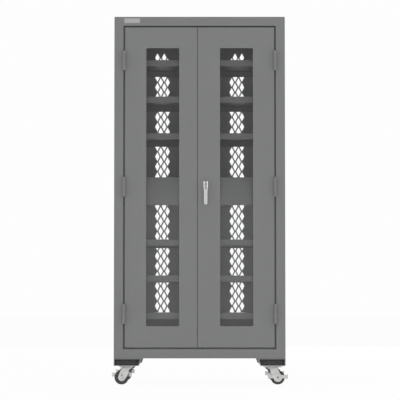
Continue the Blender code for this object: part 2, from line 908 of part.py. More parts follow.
def add_pane_channels(door, window_xs):
    """Folded channels down both sides of the window, which hold the pane."""
    inside = FRONT + SHEET
    ledge = inside + SEAT_GAP + PANE_THICKNESS + SEAT_GAP
    low = WINDOW_BOTTOM - CHANNEL_OVERLAP
    high = WINDOW_TOP + CHANNEL_OVERLAP
    for edge, outward in ((window_xs[0], -1.0), (window_xs[1], 1.0)):
        wall = edge + outward * (PANE_LAP + CHANNEL_SIDE_GAP)
        line = [
            (wall + outward * CHANNEL_FOOT, inside - CHANNEL_SINK),
            (wall, inside - CHANNEL_SINK),
            (wall, ledge),
            (wall - outward * CHANNEL_LAP, ledge),
        ]
        outline = folded_outline(line, -outward * SHELF_SHEET)
        channel = outline_solid("pane_channel", [outline], "Z", low, high)
        join(door, channel)


def build_pane(name, side):
    """Clear sheet behind a window, lapping it all round."""
    xs = sorted((side * (WINDOW_INNER - PANE_LAP), side * (WINDOW_OUTER + PANE_LAP)))
    front = FRONT + SHEET + SEAT_GAP
    return box(
        name,
        (xs[0], front, WINDOW_BOTTOM - PANE_LAP),
        (xs[1], front + PANE_THICKNESS, WINDOW_TOP + PANE_LAP),
        "clear_sheet",
    )


def handle_outline():
    """The lever seen from the front: a notched head that tapers to a round tip."""
    lobe = (HANDLE_HEAD_HALF - HANDLE_NOTCH_HALF) / 2.0
    lobe_centre = HANDLE_NOTCH_HALF + lobe
    right = [(0.0, HANDLE_TOP - HANDLE_NOTCH_DEPTH)]
    right += arc((lobe_centre, HANDLE_TOP - lobe), lobe, 180.0, 0.0, ARC_STEPS)
    right += [
        (HANDLE_HEAD_HALF, 0.0),
        (HANDLE_NECK_HALF, -HANDLE_NECK_DROP),
        (HANDLE_TIP_HALF, HANDLE_TIP_HALF - HANDLE_BOTTOM),
    ]
    tip = arc(
        (0.0, HANDLE_TIP_HALF - HANDLE_BOTTOM), HANDLE_TIP_HALF, 0.0, -180.0, 2 * ARC_STEPS
    )
    left = [(-x, z) for x, z in reversed(right[1:-1])]
    return right + tip[1:] + left


def build_handle():
    """Cast lever with a lock pocket, its spindle and collar."""
    outline = [(HANDLE_X + x, HANDLE_Z + z) for x, z in handle_outline()]
    face = FRONT - HANDLE_REACH
    handle = outline_solid(
        "handle", [outline], "Y", face, FRONT - HANDLE_STANDOFF, "chrome"
    )
    bevel = handle.modifiers.new("rounded", "BEVEL")
    bevel.width = HANDLE_RELIEF
    bevel.segments = 2
    bevel.limit_method = "ANGLE"
    bevel.angle_limit = math.radians(60.0)
    bake(handle)
    top_arc = arc((0.0, POCKET_TOP - POCKET_HALF), POCKET_HALF, 0.0, 180.0, ARC_STEPS)
    low_arc = arc((0.0, POCKET_HALF - POCKET_BOTTOM), POCKET_HALF, 180.0, 360.0, ARC_STEPS)
    pocket = [(HANDLE_X + x, HANDLE_Z + z) for x, z in top_arc + low_arc]
    cut(handle, outline_solid(
        "pocket", [pocket], "Y", face - OVERRUN, face + POCKET_DEPTH
    ))
    spindle = turned(
        "spindle",
        [
            (0.0, HANDLE_STANDOFF + OVERRUN),
            (COLLAR_RADIUS, HANDLE_STANDOFF + OVERRUN),
            (COLLAR_RADIUS, SEAT_GAP),
            (SPINDLE_RADIUS, SEAT_GAP),
            (SPINDLE_RADIUS, -SHEET - CAM_SETBACK),
            (0.0, -SHEET - CAM_SETBACK),
        ],
        (0.0, 0.0, 0.0),
        TURNED_SIDES,
        "Z",
        "chrome",
    )
    front_turn = Matrix.Rotation(math.pi / 2.0, 4, "X")
    spindle.data.transform(Matrix.Translation((HANDLE_X, FRONT, HANDLE_Z)) @ front_turn)
    join(handle, spindle)
    hole = round_bar(
        "plug_hole",
        PLUG_RADIUS + PLUG_FIT,
        (HANDLE_X, face, HANDLE_Z),
        -OVERRUN,
        POCKET_DEPTH + PLUG_LENGTH + SEAT_GAP,
        TURNED_SIDES,
        "Y",
    )
    return smooth(cut(handle, hole))


def build_lock_plug():
    """Key plug in the handle's pocket."""
    face = FRONT - HANDLE_REACH
    start = face + PLUG_STAND
    plug = round_bar(
        "lock_plug",
        PLUG_RADIUS,
        (HANDLE_X, start, HANDLE_Z),
        0.0,
        POCKET_DEPTH + PLUG_LENGTH - PLUG_STAND,
        TURNED_SIDES,
        "Y",
    )
    keyway = box(
        "keyway",
        (HANDLE_X - KEYWAY_HALF, start - OVERRUN, HANDLE_Z - KEYWAY_LONG),
        (HANDLE_X + KEYWAY_HALF, start + KEYWAY_DEPTH, HANDLE_Z + KEYWAY_LONG),
    )
    return smooth(cut(plug, keyway))


def build_cam():
    """Latch cam on the spindle's inner end, across the rods at rest."""
    front = FRONT + SHEET + CAM_SETBACK + SEAT_GAP
    half = CAM_HALF_LENGTH - CAM_HALF_WIDTH
    outline = arc((half, 0.0), CAM_HALF_WIDTH, -90.0, 90.0, ARC_STEPS)
    outline += arc((-half, 0.0), CAM_HALF_WIDTH, 90.0, 270.0, ARC_STEPS)
    placed = [(HANDLE_X + x, HANDLE_Z + z) for x, z in outline]
    return outline_solid("latch_cam", [placed], "Y", front, front + CAM_SHEET)


def build_rod(name, direction, tip_level):
    """A latch rod from near the cam to just past the door's edge, with a taper."""
    inner = HANDLE_Z + direction * ROD_INNER_END
    tip = tip_level + direction * ROD_TIP_CLEAR
    shoulder = tip - direction * ROD_TAPER
    profile = [
        (0.0, tip),
        (ROD_RADIUS / 2.0, tip),
        (ROD_RADIUS, shoulder),
        (ROD_RADIUS, inner),
        (0.0, inner),
    ]
    if direction < 0.0:
        profile.reverse()
    rod = turned(name, profile, (HANDLE_X, ROD_Y, 0.0), PIN_SIDES, "Z", "zinc")
    return smooth(rod)


def add_rod_guides(door):
    """Eyes inside the right door, which the latch rods slide in."""
    cut(door, rod_hole(DOOR_TOP, ROD_FIT), rod_hole(DOOR_BOTTOM, ROD_FIT))
    bore = ROD_RADIUS + ROD_FIT
    outer = bore + ROD_GUIDE_WALL
    half = ROD_GUIDE_HEIGHT / 2.0
    for direction in (1.0, -1.0):
        level = HANDLE_Z + direction * ROD_GUIDE_OFFSET
        block = box(
            "guide",
            (HANDLE_X - outer, FRONT + SHEET / 2.0, level - half),
            (HANDLE_X + outer, ROD_Y + outer, level + half),
        )
        centre = (HANDLE_X, ROD_Y, level)
        reach = half + OVERRUN
        cut(block, round_bar("bore", bore, centre, -reach, reach, PIN_SIDES))
        join(door, block)


def build_doors():
    """Both doors with their panes, hinge leaves, handle and latch."""
    meet = MEETING_GAP / 2.0
    spans = {
        "left": (-DOOR_OUTER, MEETING_LINE - meet, -1.0),
        "right": (MEETING_LINE + meet, DOOR_OUTER, 1.0),
    }
    for label, (left, right, side) in spans.items():
        door = build_door(f"door_{label}", left, right, side)
        moving = [door, build_pane(f"window_pane_{label}", side)]
        for place, level in zip(("top", "middle", "bottom"), hinge_levels()):
            moving.append(build_door_leaf(f"hinge_{label}_{place}", side, level))
        if side > 0.0:
            spindle_hole = round_bar(
                "spindle_hole",
                SPINDLE_RADIUS + SPINDLE_HOLE_GAP,
                (HANDLE_X, FRONT, HANDLE_Z),
                -OVERRUN,
                SHEET + OVERRUN,
                TURNED_SIDES,
                "Y",
            )
            cut(door, spindle_hole)
            add_rod_guides(door)
        hinge = add_empty(f"hinge_axis_{label}", (side * PIN_X, PIN_Y, BODY_MIDDLE))
        carry(hinge, *moving)
    turn = add_empty("handle_axis", (HANDLE_X, FRONT, HANDLE_Z))
    carry(turn, build_handle(), build_cam(), build_lock_plug())
    rod_axis = add_empty("rod_axis", (HANDLE_X, ROD_Y, HANDLE_Z))
    rods = [
        build_rod("latch_rod_upper", 1.0, DOOR_TOP),
        build_rod("latch_rod_lower", -1.0, DOOR_BOTTOM),
    ]
    carry(rod_axis, *rods)


def build_risers():
    """Boxed risers under the four corners, each closed at its inner end."""
    top = BOTTOM - SEAT_GAP
    for side, side_name in ((-1.0, "left"), (1.0, "right")):
        corners = [
            (side * HALF_WIDTH, top),
            (side * HALF_WIDTH, CASTER_HEIGHT),
            (side * (HALF_WIDTH - RISER_WIDTH), CASTER_HEIGHT),
            (side * (HALF_WIDTH - RISER_WIDTH - RISER_FLARE), top),
        ]
        if side > 0.0:
            corners.reverse()
        hollow = [inset_outline(corners, RISER_SHEET)]
        for place, front, opening in (
            ("front", FRONT, FRONT - OVERRUN),
            ("rear", REAR - RISER_DEPTH, REAR - RISER_DEPTH + RISER_SHEET),
        ):
            name = f"riser_{side_name}_{place}"
            riser = outline_solid(name, [corners], "Y", front, front + RISER_DEPTH)
            reach = RISER_DEPTH - RISER_SHEET + OVERRUN
            cut(riser, outline_solid("hollow", hollow, "Y", opening, opening + reach))


def leg_outline():
    """Fork leg seen from the side, from the crown down round the axle."""
    crown = CASTER_HEIGHT - CASTER_PLATE_THICKNESS - RACE_HEIGHT - SEAT_GAP
    tip = (-CASTER_OFFSET - LEG_TIP_SHIFT, AXLE_HEIGHT)
    lower = arc(tip, LEG_TIP_RADIUS, 170.0, 350.0, ARC_STEPS)
    upper = [
        (LEG_TOP_LEAD, crown),
        (-LEG_TOP_TRAIL, crown),
        (-LEG_KNEE_TRAIL, LEG_KNEE_HEIGHT),
    ]
    return lower + upper


def build_fork_mesh(name):
    """Swivel fork: a crown under the ball race and two slanted legs."""
    crown_top = CASTER_HEIGHT - CASTER_PLATE_THICKNESS - RACE_HEIGHT - SEAT_GAP
    crown = turned(
        name,
        [
            (0.0, crown_top),
            (CROWN_RADIUS, crown_top),
            (CROWN_RADIUS, crown_top - CROWN_THICKNESS),
            (KINGPIN_RADIUS, crown_top - CROWN_THICKNESS),
            (KINGPIN_RADIUS, crown_top - CROWN_THICKNESS - KINGPIN_HEAD),
            (0.0, crown_top - CROWN_THICKNESS - KINGPIN_HEAD),
        ],
        (0.0, 0.0, 0.0),
        TURNED_SIDES,
    )
    inside = LEG_INSIDE / 2.0
    for side in (-1.0, 1.0):
        ys = sorted((side * inside, side * (inside + LEG_SHEET)))
        leg = outline_solid("leg", [leg_outline()], "Y", ys[0], ys[1], "zinc")
        join(crown, leg)
    reach = inside + LEG_SHEET
    far = reach + LEVER_SHEET + 2.0 * SEAT_GAP
    axle = turned(
        "axle",
        [
            (0.0, reach + AXLE_HEAD),
            (AXLE_HEAD_RADIUS, reach + AXLE_HEAD),
            (AXLE_HEAD_RADIUS, reach - LEG_SHEET / 2.0),
            (AXLE_RADIUS, reach - LEG_SHEET / 2.0),
            (AXLE_RADIUS, -far),
            (AXLE_HEAD_RADIUS, -far),
            (AXLE_HEAD_RADIUS, -far - AXLE_HEAD),
            (0.0, -far - AXLE_HEAD),
        ],
        (0.0, 0.0, 0.0),
        PIN_SIDES,
    )
    stand = Matrix.Rotation(math.pi / 2.0, 4, "X")
    axle.data.transform(Matrix.Translation((-CASTER_OFFSET, 0.0, AXLE_HEIGHT)) @ stand)
    return smooth(join(crown, axle))


def build_wheel_mesh(name):
    """Wheel turned about its axle, with a crowned tread, a web and a hub."""
    half = WHEEL_WIDTH / 2.0
    rim = WHEEL_RADIUS - TREAD_DEPTH
    upper = [
        (AXLE_RADIUS + AXLE_FIT, HUB_HALF),
        (HUB_RADIUS, HUB_HALF),
        (HUB_RADIUS, WEB_HALF),
        (rim, WEB_HALF),
        (rim, half),
        (WHEEL_RADIUS, half - WHEEL_CROWN),
    ]
    lower = [(radius, -height) for radius, height in reversed(upper)]
    wheel = turned(
        name, upper + lower, (0.0, 0.0, 0.0), WHEEL_SIDES, "Y", "tread", ring=True
    )
    wheel.data.transform(Matrix.Translation((-CASTER_OFFSET, 0.0, AXLE_HEIGHT)))
    return smooth(wheel)


def lever_outline(rise):
    """Side brake lever: a hub on the axle with an arm and a foot pad each way."""
    pad_start = LEVER_HALF - LEVER_PAD_LENGTH
    low = rise - LEVER_ARM_HALF
    high = rise + LEVER_ARM_HALF
    swing = math.sqrt(LEVER_HUB_RADIUS ** 2 - high ** 2)
    dip = math.sqrt(LEVER_HUB_RADIUS ** 2 - low ** 2)
    start = math.degrees(math.atan2(high, swing))
    end = math.degrees(math.atan2(low, dip))
    top = arc((0.0, 0.0), LEVER_HUB_RADIUS, start, 180.0 - start, ARC_STEPS)
    bottom = arc((0.0, 0.0), LEVER_HUB_RADIUS, 180.0 - end, 360.0 + end, ARC_STEPS)
    left = [
        (-pad_start, high),
        (-LEVER_HALF + LEVER_PAD_CURL, rise + LEVER_PAD_HALF),
        (-LEVER_HALF, rise + LEVER_PAD_HALF),
        (-LEVER_HALF, rise - LEVER_PAD_HALF),
        (-LEVER_HALF + LEVER_PAD_CURL, rise - LEVER_PAD_HALF),
        (-pad_start, low),
    ]
    right = [(-x, z) for x, z in reversed(left)]
    return top + left + bottom + right


def build_lever_mesh(name, rise):
    """The brake lever, on the axle outside the fork's inner leg."""
    front = LEG_INSIDE / 2.0 + LEG_SHEET + SEAT_GAP
    hole = arc((0.0, 0.0), AXLE_RADIUS + AXLE_FIT, 0.0, 360.0, PIN_SIDES)[:-1]
    outlines = [lever_outline(rise), hole]
    placed = []
    for outline in outlines:
        placed.append([(x - CASTER_OFFSET, z + AXLE_HEIGHT) for x, z in outline])
    return outline_solid(name, placed, "Y", front, front + LEVER_SHEET, "zinc")


def build_plate_mesh(name, long_along_x):
    """Top plate with its ball race and four bolt heads, bolted under a riser."""
    top = CASTER_HEIGHT - SEAT_GAP
    bottom = top - CASTER_PLATE_THICKNESS
    half_long = CASTER_PLATE_LONG / 2.0
    half_short = CASTER_PLATE_SHORT / 2.0
    half_x = half_long if long_along_x else half_short
    half_y = half_short if long_along_x else half_long
    plate = box(name, (-half_x, -half_y, bottom), (half_x, half_y, top), "zinc")
    race_bottom = bottom - RACE_HEIGHT + SEAT_GAP
    race = turned(
        "race",
        [
            (0.0, bottom + SEAT_GAP),
            (RACE_WAIST_RADIUS, bottom + SEAT_GAP),
            (RACE_RADIUS, bottom - RACE_HEIGHT / 2.0),
            (RACE_WAIST_RADIUS, race_bottom),
            (0.0, race_bottom),
        ],
        (0.0, 0.0, 0.0),
        TURNED_SIDES,
    )
    join(plate, race)
    for sign_x in (-1.0, 1.0):
        for sign_y in (-1.0, 1.0):
            centre = (
                sign_x * (half_x - CASTER_BOLT_INSET),
                sign_y * (half_y - CASTER_BOLT_INSET),
                bottom,
            )
            join(plate, round_bar(
                "bolt", CASTER_BOLT_RADIUS, centre, -CASTER_BOLT_HEAD, SEAT_GAP, BOLT_SIDES
            ))
    return plate


def build_casters():
    """Four swivel casters that share the meshes of fork and wheel, and of a side's levers."""
    swivel_x = HALF_WIDTH - RISER_WIDTH / 2.0
    rows = {"front": FRONT + RISER_DEPTH / 2.0, "rear": REAR - RISER_DEPTH / 2.0}
    shared = {}
    for side, side_name in ((-1.0, "left"), (1.0, "right")):
        turn = 0.0 if side < 0.0 else math.pi
        for place, y in rows.items():
            corner = f"{side_name}_{place}"
            spot = (side * swivel_x, y, 0.0)
            plate = place_copy(
                shared, f"caster_plate_{corner}", f"plate_{side_name}",
                lambda name, wide=side > 0.0: build_plate_mesh(name, wide),
            )
            plate.location = spot
            swivel = add_empty(f"swivel_axis_{corner}", spot, turn)
            axle = add_empty(
                f"axle_axis_{corner}",
                (spot[0] + side * CASTER_OFFSET, y, AXLE_HEIGHT),
                turn,
            )
            pieces = {
                "fork": (build_fork_mesh, swivel),
                "wheel": (build_wheel_mesh, axle),
                "brake_lever": (
                    lambda name, rise=LEVER_RISES[side_name]: build_lever_mesh(name, rise),
                    axle,
                ),
            }
            for piece, (maker, empty) in pieces.items():
                kind = f"{piece}_{side_name}" if piece == "brake_lever" else piece
                item = place_copy(shared, f"{piece}_{corner}", kind, maker)
                item.location = spot
                item.rotation_euler = (0.0, 0.0, turn)
                carry(empty, item)
            carry(swivel, axle)


def place_copy(shared, name, kind, maker):
    """The first piece of a kind is built, and the others share its mesh."""
    if kind not in shared:
        item = maker(name)
        shared[kind] = item.data
        return item
    return add_object(name, shared[kind], "zinc")


def main():
    clear_scene()
    build_face_frame()
    build_shell()
    build_back_panel()
    build_shelves()
    build_posts()
    build_power()
    build_doors()
    build_risers()
    build_casters()


main()
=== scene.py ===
"""Finished surfaces of a mobile charging cabinet, built round its fixed frame.

Metres, +Z up, with the doors facing -Y. Every surface is a grid of points that numpy works
out from a profile or from loops. Sizes come from the frame, from the property groups below
and, for small parts, from the names at the top of the function that makes them. Points in
brackets are across and up, or for a turned part the radius and the height on its axis.
"""

import json
import math
from collections import namedtuple
from functools import cache

import bmesh
import bpy
import numpy as np
from bpy.props import FloatProperty, FloatVectorProperty, IntProperty, PointerProperty
from bpy.types import NodeSocket, Operator, Panel, PropertyGroup
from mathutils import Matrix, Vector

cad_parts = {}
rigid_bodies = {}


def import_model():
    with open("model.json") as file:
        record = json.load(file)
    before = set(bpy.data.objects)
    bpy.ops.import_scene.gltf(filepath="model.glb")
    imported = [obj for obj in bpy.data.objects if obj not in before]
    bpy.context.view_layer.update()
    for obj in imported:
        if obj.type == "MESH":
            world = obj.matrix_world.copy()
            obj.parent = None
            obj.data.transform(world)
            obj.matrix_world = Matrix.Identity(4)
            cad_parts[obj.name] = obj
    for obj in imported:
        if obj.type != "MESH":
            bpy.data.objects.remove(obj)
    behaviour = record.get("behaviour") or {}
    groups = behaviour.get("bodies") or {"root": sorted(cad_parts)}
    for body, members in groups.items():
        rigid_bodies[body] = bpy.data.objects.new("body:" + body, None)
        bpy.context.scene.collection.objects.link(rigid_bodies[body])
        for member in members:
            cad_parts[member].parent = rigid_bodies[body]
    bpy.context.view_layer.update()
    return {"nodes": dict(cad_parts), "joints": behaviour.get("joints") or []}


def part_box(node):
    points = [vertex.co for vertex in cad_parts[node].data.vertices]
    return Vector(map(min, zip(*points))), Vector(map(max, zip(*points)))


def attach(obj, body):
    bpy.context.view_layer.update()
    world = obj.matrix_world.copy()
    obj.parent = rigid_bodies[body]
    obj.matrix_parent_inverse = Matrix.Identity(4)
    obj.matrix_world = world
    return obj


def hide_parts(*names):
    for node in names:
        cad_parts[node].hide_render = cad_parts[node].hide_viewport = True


bl_info = {
    "name": "Mobile Charging Cabinet",
    "version": (1, 0, 0),
    "blender": (4, 5, 0),
    "location": "View3D > Sidebar > Cabinet",
    "description": "Builds the finished surfaces of a mobile charging cabinet",
    "category": "Add Mesh",
}

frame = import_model()
PIVOTS = {joint["name"]: np.array(joint["pos_m"]) for joint in frame["joints"] if "pos_m" in joint}
SIDES = {"left": -1.0, "right": 1.0}
CORNERS = [(side, row) for side in SIDES for row in ("front", "rear")]


def node_box(node):
    """Lowest and highest corners of a frame node as arrays."""
    low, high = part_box(node)
    return np.array(low), np.array(high)


BACK_LOW, BACK_HIGH = node_box("back_panel")
HEADER_HIGH = node_box("header")[1]
LEFT_LOW, LEFT_HIGH = node_box("door_left")
RIGHT_LOW, RIGHT_HIGH = node_box("door_right")
# The space that the frame leaves between solids that meet.
SEAT_GAP = 0.0003
# Points closer than MERGE are welded and closer than REPEAT are the same. TINY keeps divisors from zero.
MERGE = 1e-6
REPEAT = 1e-7
TINY = 1e-9
SHEET = BACK_HIGH[1] - BACK_LOW[1]
HALF_WIDTH = BACK_HIGH[0]
BOTTOM = BACK_LOW[2]
TOP = BACK_HIGH[2]
FRONT = LEFT_LOW[1]
DOOR_DEPTH = LEFT_HIGH[1] - LEFT_LOW[1]
OPENING_HALF = HEADER_HIGH[0] + SEAT_GAP
DOOR_GAP = OPENING_HALF - RIGHT_HIGH[0]
OPENING_TOP = RIGHT_HIGH[2] + DOOR_GAP
OPENING_BOTTOM = RIGHT_LOW[2] - DOOR_GAP
JAMB = HEADER_HIGH[1] + SEAT_GAP
LEVER_PIVOT = PIVOTS["handle_turn"]


def length(name, description, default, least, most):
    """A length that a user may change."""
    return FloatProperty(name=name, description=description, default=default, min=least, max=most,
                         unit="LENGTH")


def count(name, description, default, least, most):
    """A number of steps that a user may change."""
    return IntProperty(name=name, description=description, default=default, min=least, max=most)


def colour(name, description, *default):
    """A colour that a user may change."""
    return FloatVectorProperty(name=name, description=description, default=default, size=3,
                               min=0.0, max=1.0, subtype="COLOR")


class CabinetSizes(PropertyGroup):
    """Small sizes of the finished surfaces, which the frame doesn't hold."""

    edge: length("Cut edge", "Radius of a sheet's cut edge", 0.0004, 0.0001, 0.001)
    bend: length("Bend", "Outer radius of a folded edge", 0.0023, 0.002, 0.006)
    frame_edge: length("Frame edge", "Radius of the welded frame's front edges", 0.0016, 0.0003, 0.0018)
    shell_corner: length("Shell corner", "Radius of the shell's upper corners seen from the front",
                         0.0030, 0.002, 0.02)
    window_corner: length("Window corner", "Corner radius of the windows", 0.0070, 0.001, 0.03)
    lever_edge: length("Lever edge", "Radius round the lever's front", 0.0038, 0.001, 0.006)
    tread_shoulder: length("Tread shoulder", "Radius of the tread's shoulders", 0.0052, 0.001, 0.008)
    corner_steps: count("Corner steps", "Steps in each rounded corner", 6, 2, 16)
    round_steps: count("Round steps", "Steps round each turned piece", 48, 16, 128)


class CabinetFinishes(PropertyGroup):
    """Colours that a user would change."""

    # Painted shade: the inner share darkens the paint of the shelves, the cover and the posts, for the
    # shade that falls inside the cabinet.
    inner_shade_share: FloatProperty(
        name="Inner share", description="Brightness of the shade_darkened coat inside against the outer coat",
        default=0.43, min=0.2, max=1.0, subtype="FACTOR",
    )
    paint: colour("Paint", "Powder coat of the cabinet", 0.200, 0.202, 0.203)
    zinc: colour("Zinc", "Plating of the casters and the latch", 0.60, 0.60, 0.59)
    chrome: colour("Chrome", "Plating of the lever", 0.56, 0.56, 0.56)
    tread: colour("Tread", "Rubber of the wheels", 0.052, 0.052, 0.055)
    plastic: colour("Plastic", "Mouldings of the outlets and the inlet", 0.022, 0.022, 0.023)
    plate: colour("Plate", "Bare plate on the header", 0.40, 0.40, 0.40)


def arc(centre, radius, start, end, steps):
    """Arc points: the centre plus the radius times (cos, sin) of even angles in degrees."""
    angles = np.radians(np.linspace(start, end, steps + 1))
    return np.asarray(centre) + radius * np.stack([np.cos(angles), np.sin(angles)], axis=1)


def quarter(radius, steps=4):
    """Quarter round: the radius times (1 - cos, 1 - sin) of even angles from 0 to 90 degrees."""
    return radius - arc((0.0, 0.0), radius, 0.0, 90.0, steps)


def dome(radius, height, steps):
    """Cap profile from its pole to its rim: a quarter circle drawn out to the radius and the height."""
    return arc((0.0, 0.0), 1.0, 90.0, 0.0, steps) * (radius, height)


def rectangle_loop(low, high, radius, steps):
    """Rectangle loop: four quarter circles of the radius, anticlockwise from the right side."""
    across, up = arc((0.0, 0.0), radius, 0.0, 90.0, steps).T
    left, right, bottom, top = low[0] + radius, high[0] - radius, low[1] + radius, high[1] - radius
    return np.stack([
        np.concatenate([right + across, left - up, left - across, right + up]),
        np.concatenate([top + up, top + across, bottom - up, bottom - across]),
    ], axis=1)


def round_corners(points, radii, steps=4):
    """Each corner of a closed outline becomes the arc of its radius that touches both of its sides."""
    points = np.asarray(points, float)
    radii = np.broadcast_to(np.asarray(radii, float), len(points))
    before = np.roll(points, 1, axis=0) - points
    after = np.roll(points, -1, axis=0) - points
    before /= np.linalg.norm(before, axis=1, keepdims=True)
    after /= np.linalg.norm(after, axis=1, keepdims=True)
    middle = before + after
    middle /= np.maximum(np.linalg.norm(middle, axis=1, keepdims=True), TINY)
    half = np.arccos(np.clip((before * after).sum(axis=1), -1.0, 1.0)) / 2.0
    half = np.maximum(half, MERGE)
    reach = (radii / np.tan(half))[:, None]
    centre = points + middle * (radii / np.sin(half))[:, None]
    first = points + before * reach - centre
    last = points + after * reach - centre
    start = np.arctan2(first[:, 1], first[:, 0])
    turn = np.arctan2(last[:, 1], last[:, 0]) - start
    turn = (turn + math.pi) % (2.0 * math.pi) - math.pi
    angles = start[:, None] + turn[:, None] * np.linspace(0.0, 1.0, steps + 1)
    arcs = centre[:, None, :] + radii[:, None, None] * np.stack([np.cos(angles), np.sin(angles)], -1)
    return arcs.reshape(-1, 2)


def bent(points, radii, steps=4):
    """An open line with its inner corners rounded: a closed one's arcs between the two ends."""
    inner = np.broadcast_to(radii, len(points) - 2)
    return round_corners(points, [0.0, *inner, 0.0], steps)[steps:-steps]


def left_normals(line, closed=False):
    """Mitred normals to the left of a line: the sum of both sides' normals over one plus their product."""
    sharpest = 0.2
    step = np.roll(line, -1, axis=0) - line
    step /= np.maximum(np.linalg.norm(step, axis=1, keepdims=True), TINY)
    after = np.stack([-step[:, 1], step[:, 0]], axis=1)
    before = np.roll(after, 1, axis=0)
    if not closed:
        after[-1] = after[-2]
        before[0] = after[0]
    share = 1.0 + (before * after).sum(axis=1, keepdims=True)
    return (before + after) / np.maximum(share, sharpest)


def without_repeats(line):
    """The line without points that repeat the one before."""
    return line[np.linalg.norm(line - np.roll(line, 1, axis=0), axis=1) > REPEAT]


def sheet_outline(line, thickness):
    """Outline of a bent sheet: its outer line, then the same line moved to its left."""
    return np.concatenate([line, (line + left_normals(line) * thickness)[::-1]])


def inset(outline, amount):
    """A closed outline moved inwards along its mitred normals."""
    following = np.roll(outline, -1, axis=0)
    area = (outline[:, 0] * following[:, 1] - following[:, 0] * outline[:, 1]).sum()
    return outline + left_normals(outline, closed=True) * amount * np.sign(area)


def even_points(outline, number):
    """Points spaced evenly along a closed outline by its running length."""
    closed = np.concatenate([outline, outline[:1]])
    run = np.concatenate([[0.0], np.cumsum(np.linalg.norm(np.diff(closed, axis=0), axis=1))])
    wanted = np.linspace(0.0, run[-1], number, endpoint=False)
    return np.stack([np.interp(wanted, run, closed[:, axis]) for axis in (0, 1)], axis=1)


def in_space(points, depth, plane="XZ"):
    """Flat points put in space: the plane's two letters first and the depth along the third."""
    depth = np.broadcast_to(np.asarray(depth, float), points.shape[:-1])
    parts = {plane[0]: points[..., 0], plane[1]: points[..., 1]}
    return np.stack([parts.get(letter, depth) for letter in "XYZ"], axis=-1)


def loft(loops, cyclic=False, closed=True, caps=True):
    """Mesh over a grid of points: quads between neighbouring loops, and a face on each end loop."""
    loops = np.asarray(loops)
    rows, columns = loops.shape[:2]
    index = np.arange(rows * columns).reshape(rows, columns)
    if cyclic:
        index = np.concatenate([index, index[:1]])
    if closed:
        index = np.concatenate([index, index[:, :1]], axis=1)
    quads = np.stack([index[:-1, :-1], index[1:, :-1], index[1:, 1:], index[:-1, 1:]], axis=-1)
    faces = quads.reshape(-1, 4).tolist()
    if caps and not cyclic:
        faces += [list(range(columns)), list(range((rows - 1) * columns, rows * columns))]
    mesh = bpy.data.meshes.new("surface")
    mesh.from_pydata(loops.reshape(-1, 3).tolist(), [], faces)
    return mesh


def loft_path(path, plane="XZ"):
    """Mesh through the outlines of a path, each at its own depth."""
    return loft([in_space(outline, depth, plane) for outline, depth in path])


def turned(profile, centre, axis, steps, ring=False):
    """Turned surface: each (radius, height) of the profile carried round a circle."""
    profile = np.asarray(profile, float)
    angles = np.linspace(0.0, 2.0 * math.pi, steps, endpoint=False)
    circle = np.stack([np.cos(angles), np.sin(angles)], axis=-1)
    flat = profile[:, None, :1] * circle[None, :, :]
    plane = {"X": "YZ", "Y": "XZ", "Z": "XY"}[axis]
    loops = in_space(flat, profile[:, 1:], plane)
    return loft(loops + np.asarray(centre), cyclic=ring, caps=False)


def disc(centre, axis, radius, start, end, steps, rounds=()):
    """Round bar or washer between two heights on its axis, its two edges rounded where radii are given."""
    profile = [(0.0, start), (radius, start), (radius, end), (0.0, end)]
    if rounds:
        profile = bent(profile, rounds)
    return turned(profile, centre, axis, steps)


def screw_head(centre, axis, toward, radius, height):
    """Low round head: a dome over a flat base, turned about its axis."""
    base = -toward * SEAT_GAP
    profile = np.concatenate([dome(radius, toward * height, 5), [(radius, base), (0.0, base)]])
    return turned(profile, centre, axis, steps=16)


def hexagon(centre, axis, radius, low, high):
    """Six-sided nut or head with its corners chamfered."""
    chamfer = radius * 0.12
    profile = [(0.0, high), (radius - chamfer, high), (radius, high - chamfer), (radius, low), (0.0, low)]
    return turned(profile, centre, axis, steps=6)


def slab(outline, near, far, edge, plane="XZ"):
    """Flat plate: its outline between two levels, with quarter-round edges at both faces."""
    depths, insets = quarter(edge, 2).T
    insets = np.concatenate([insets, insets[::-1]])
    depths = np.concatenate([near + depths, far - depths[::-1]])
    return loft_path([(inset(outline, amount), depth) for amount, depth in zip(insets, depths)], plane)


def plate(low, high, corner, steps, near, far, edge, plane="XZ"):
    """Rectangular slab with rounded corners."""
    return slab(rectangle_loop(low, high, corner, steps), near, far, edge, plane)


def rings(path, low, high, corner, level, steps, plane="XZ", way=1.0, least=SEAT_GAP):
    """Rectangle loops, one to each (inset, depth) of a path, with corners that shrink by the inset."""
    return [
        in_space(rectangle_loop(low + shrink, high - shrink, max(corner - shrink, least), steps),
                 level + way * along, plane)
        for shrink, along in path
    ]


def pan(node, corner, bend, sheet, steps):
    """Folded pan, open below: rectangle loops over its bend, down its side, and back inside."""
    low, high = node_box(node)
    depth = high[2] - low[2]
    outside = quarter(bend, steps)[:, ::-1]
    inside = sheet + quarter(bend - sheet, steps)[::-1, ::-1]
    path = [*outside, (0.0, depth), (sheet, depth), *inside]
    return loft(rings(path, low[:2], high[:2], corner, high[2], steps, "XY", -1.0))


def capsule(half_width, top, bottom, number, steps=24):
    """Upright slot outline, clockwise from the middle of its top, with points spaced evenly."""
    return even_points(np.concatenate([
        arc((0.0, top - half_width), half_width, 90.0, 0.0, steps),
        arc((0.0, half_width - bottom), half_width, 0.0, -180.0, 2 * steps),
        arc((0.0, top - half_width), half_width, 180.0, 90.0, steps)[:-1],
    ]), number)


def weld(mesh):
    """Weld a closed surface and turn its faces outwards, which they aren't if its volume is below zero."""
    edit = bmesh.new()
    edit.from_mesh(mesh)
    bmesh.ops.remove_doubles(edit, verts=edit.verts, dist=MERGE)
    bmesh.ops.dissolve_degenerate(edit, edges=edit.edges, dist=REPEAT)
    bmesh.ops.recalc_face_normals(edit, faces=edit.faces)
    if edit.calc_volume(signed=True) < 0.0:
        bmesh.ops.reverse_faces(edit, faces=edit.faces)
    edit.to_mesh(mesh)
    edit.free()


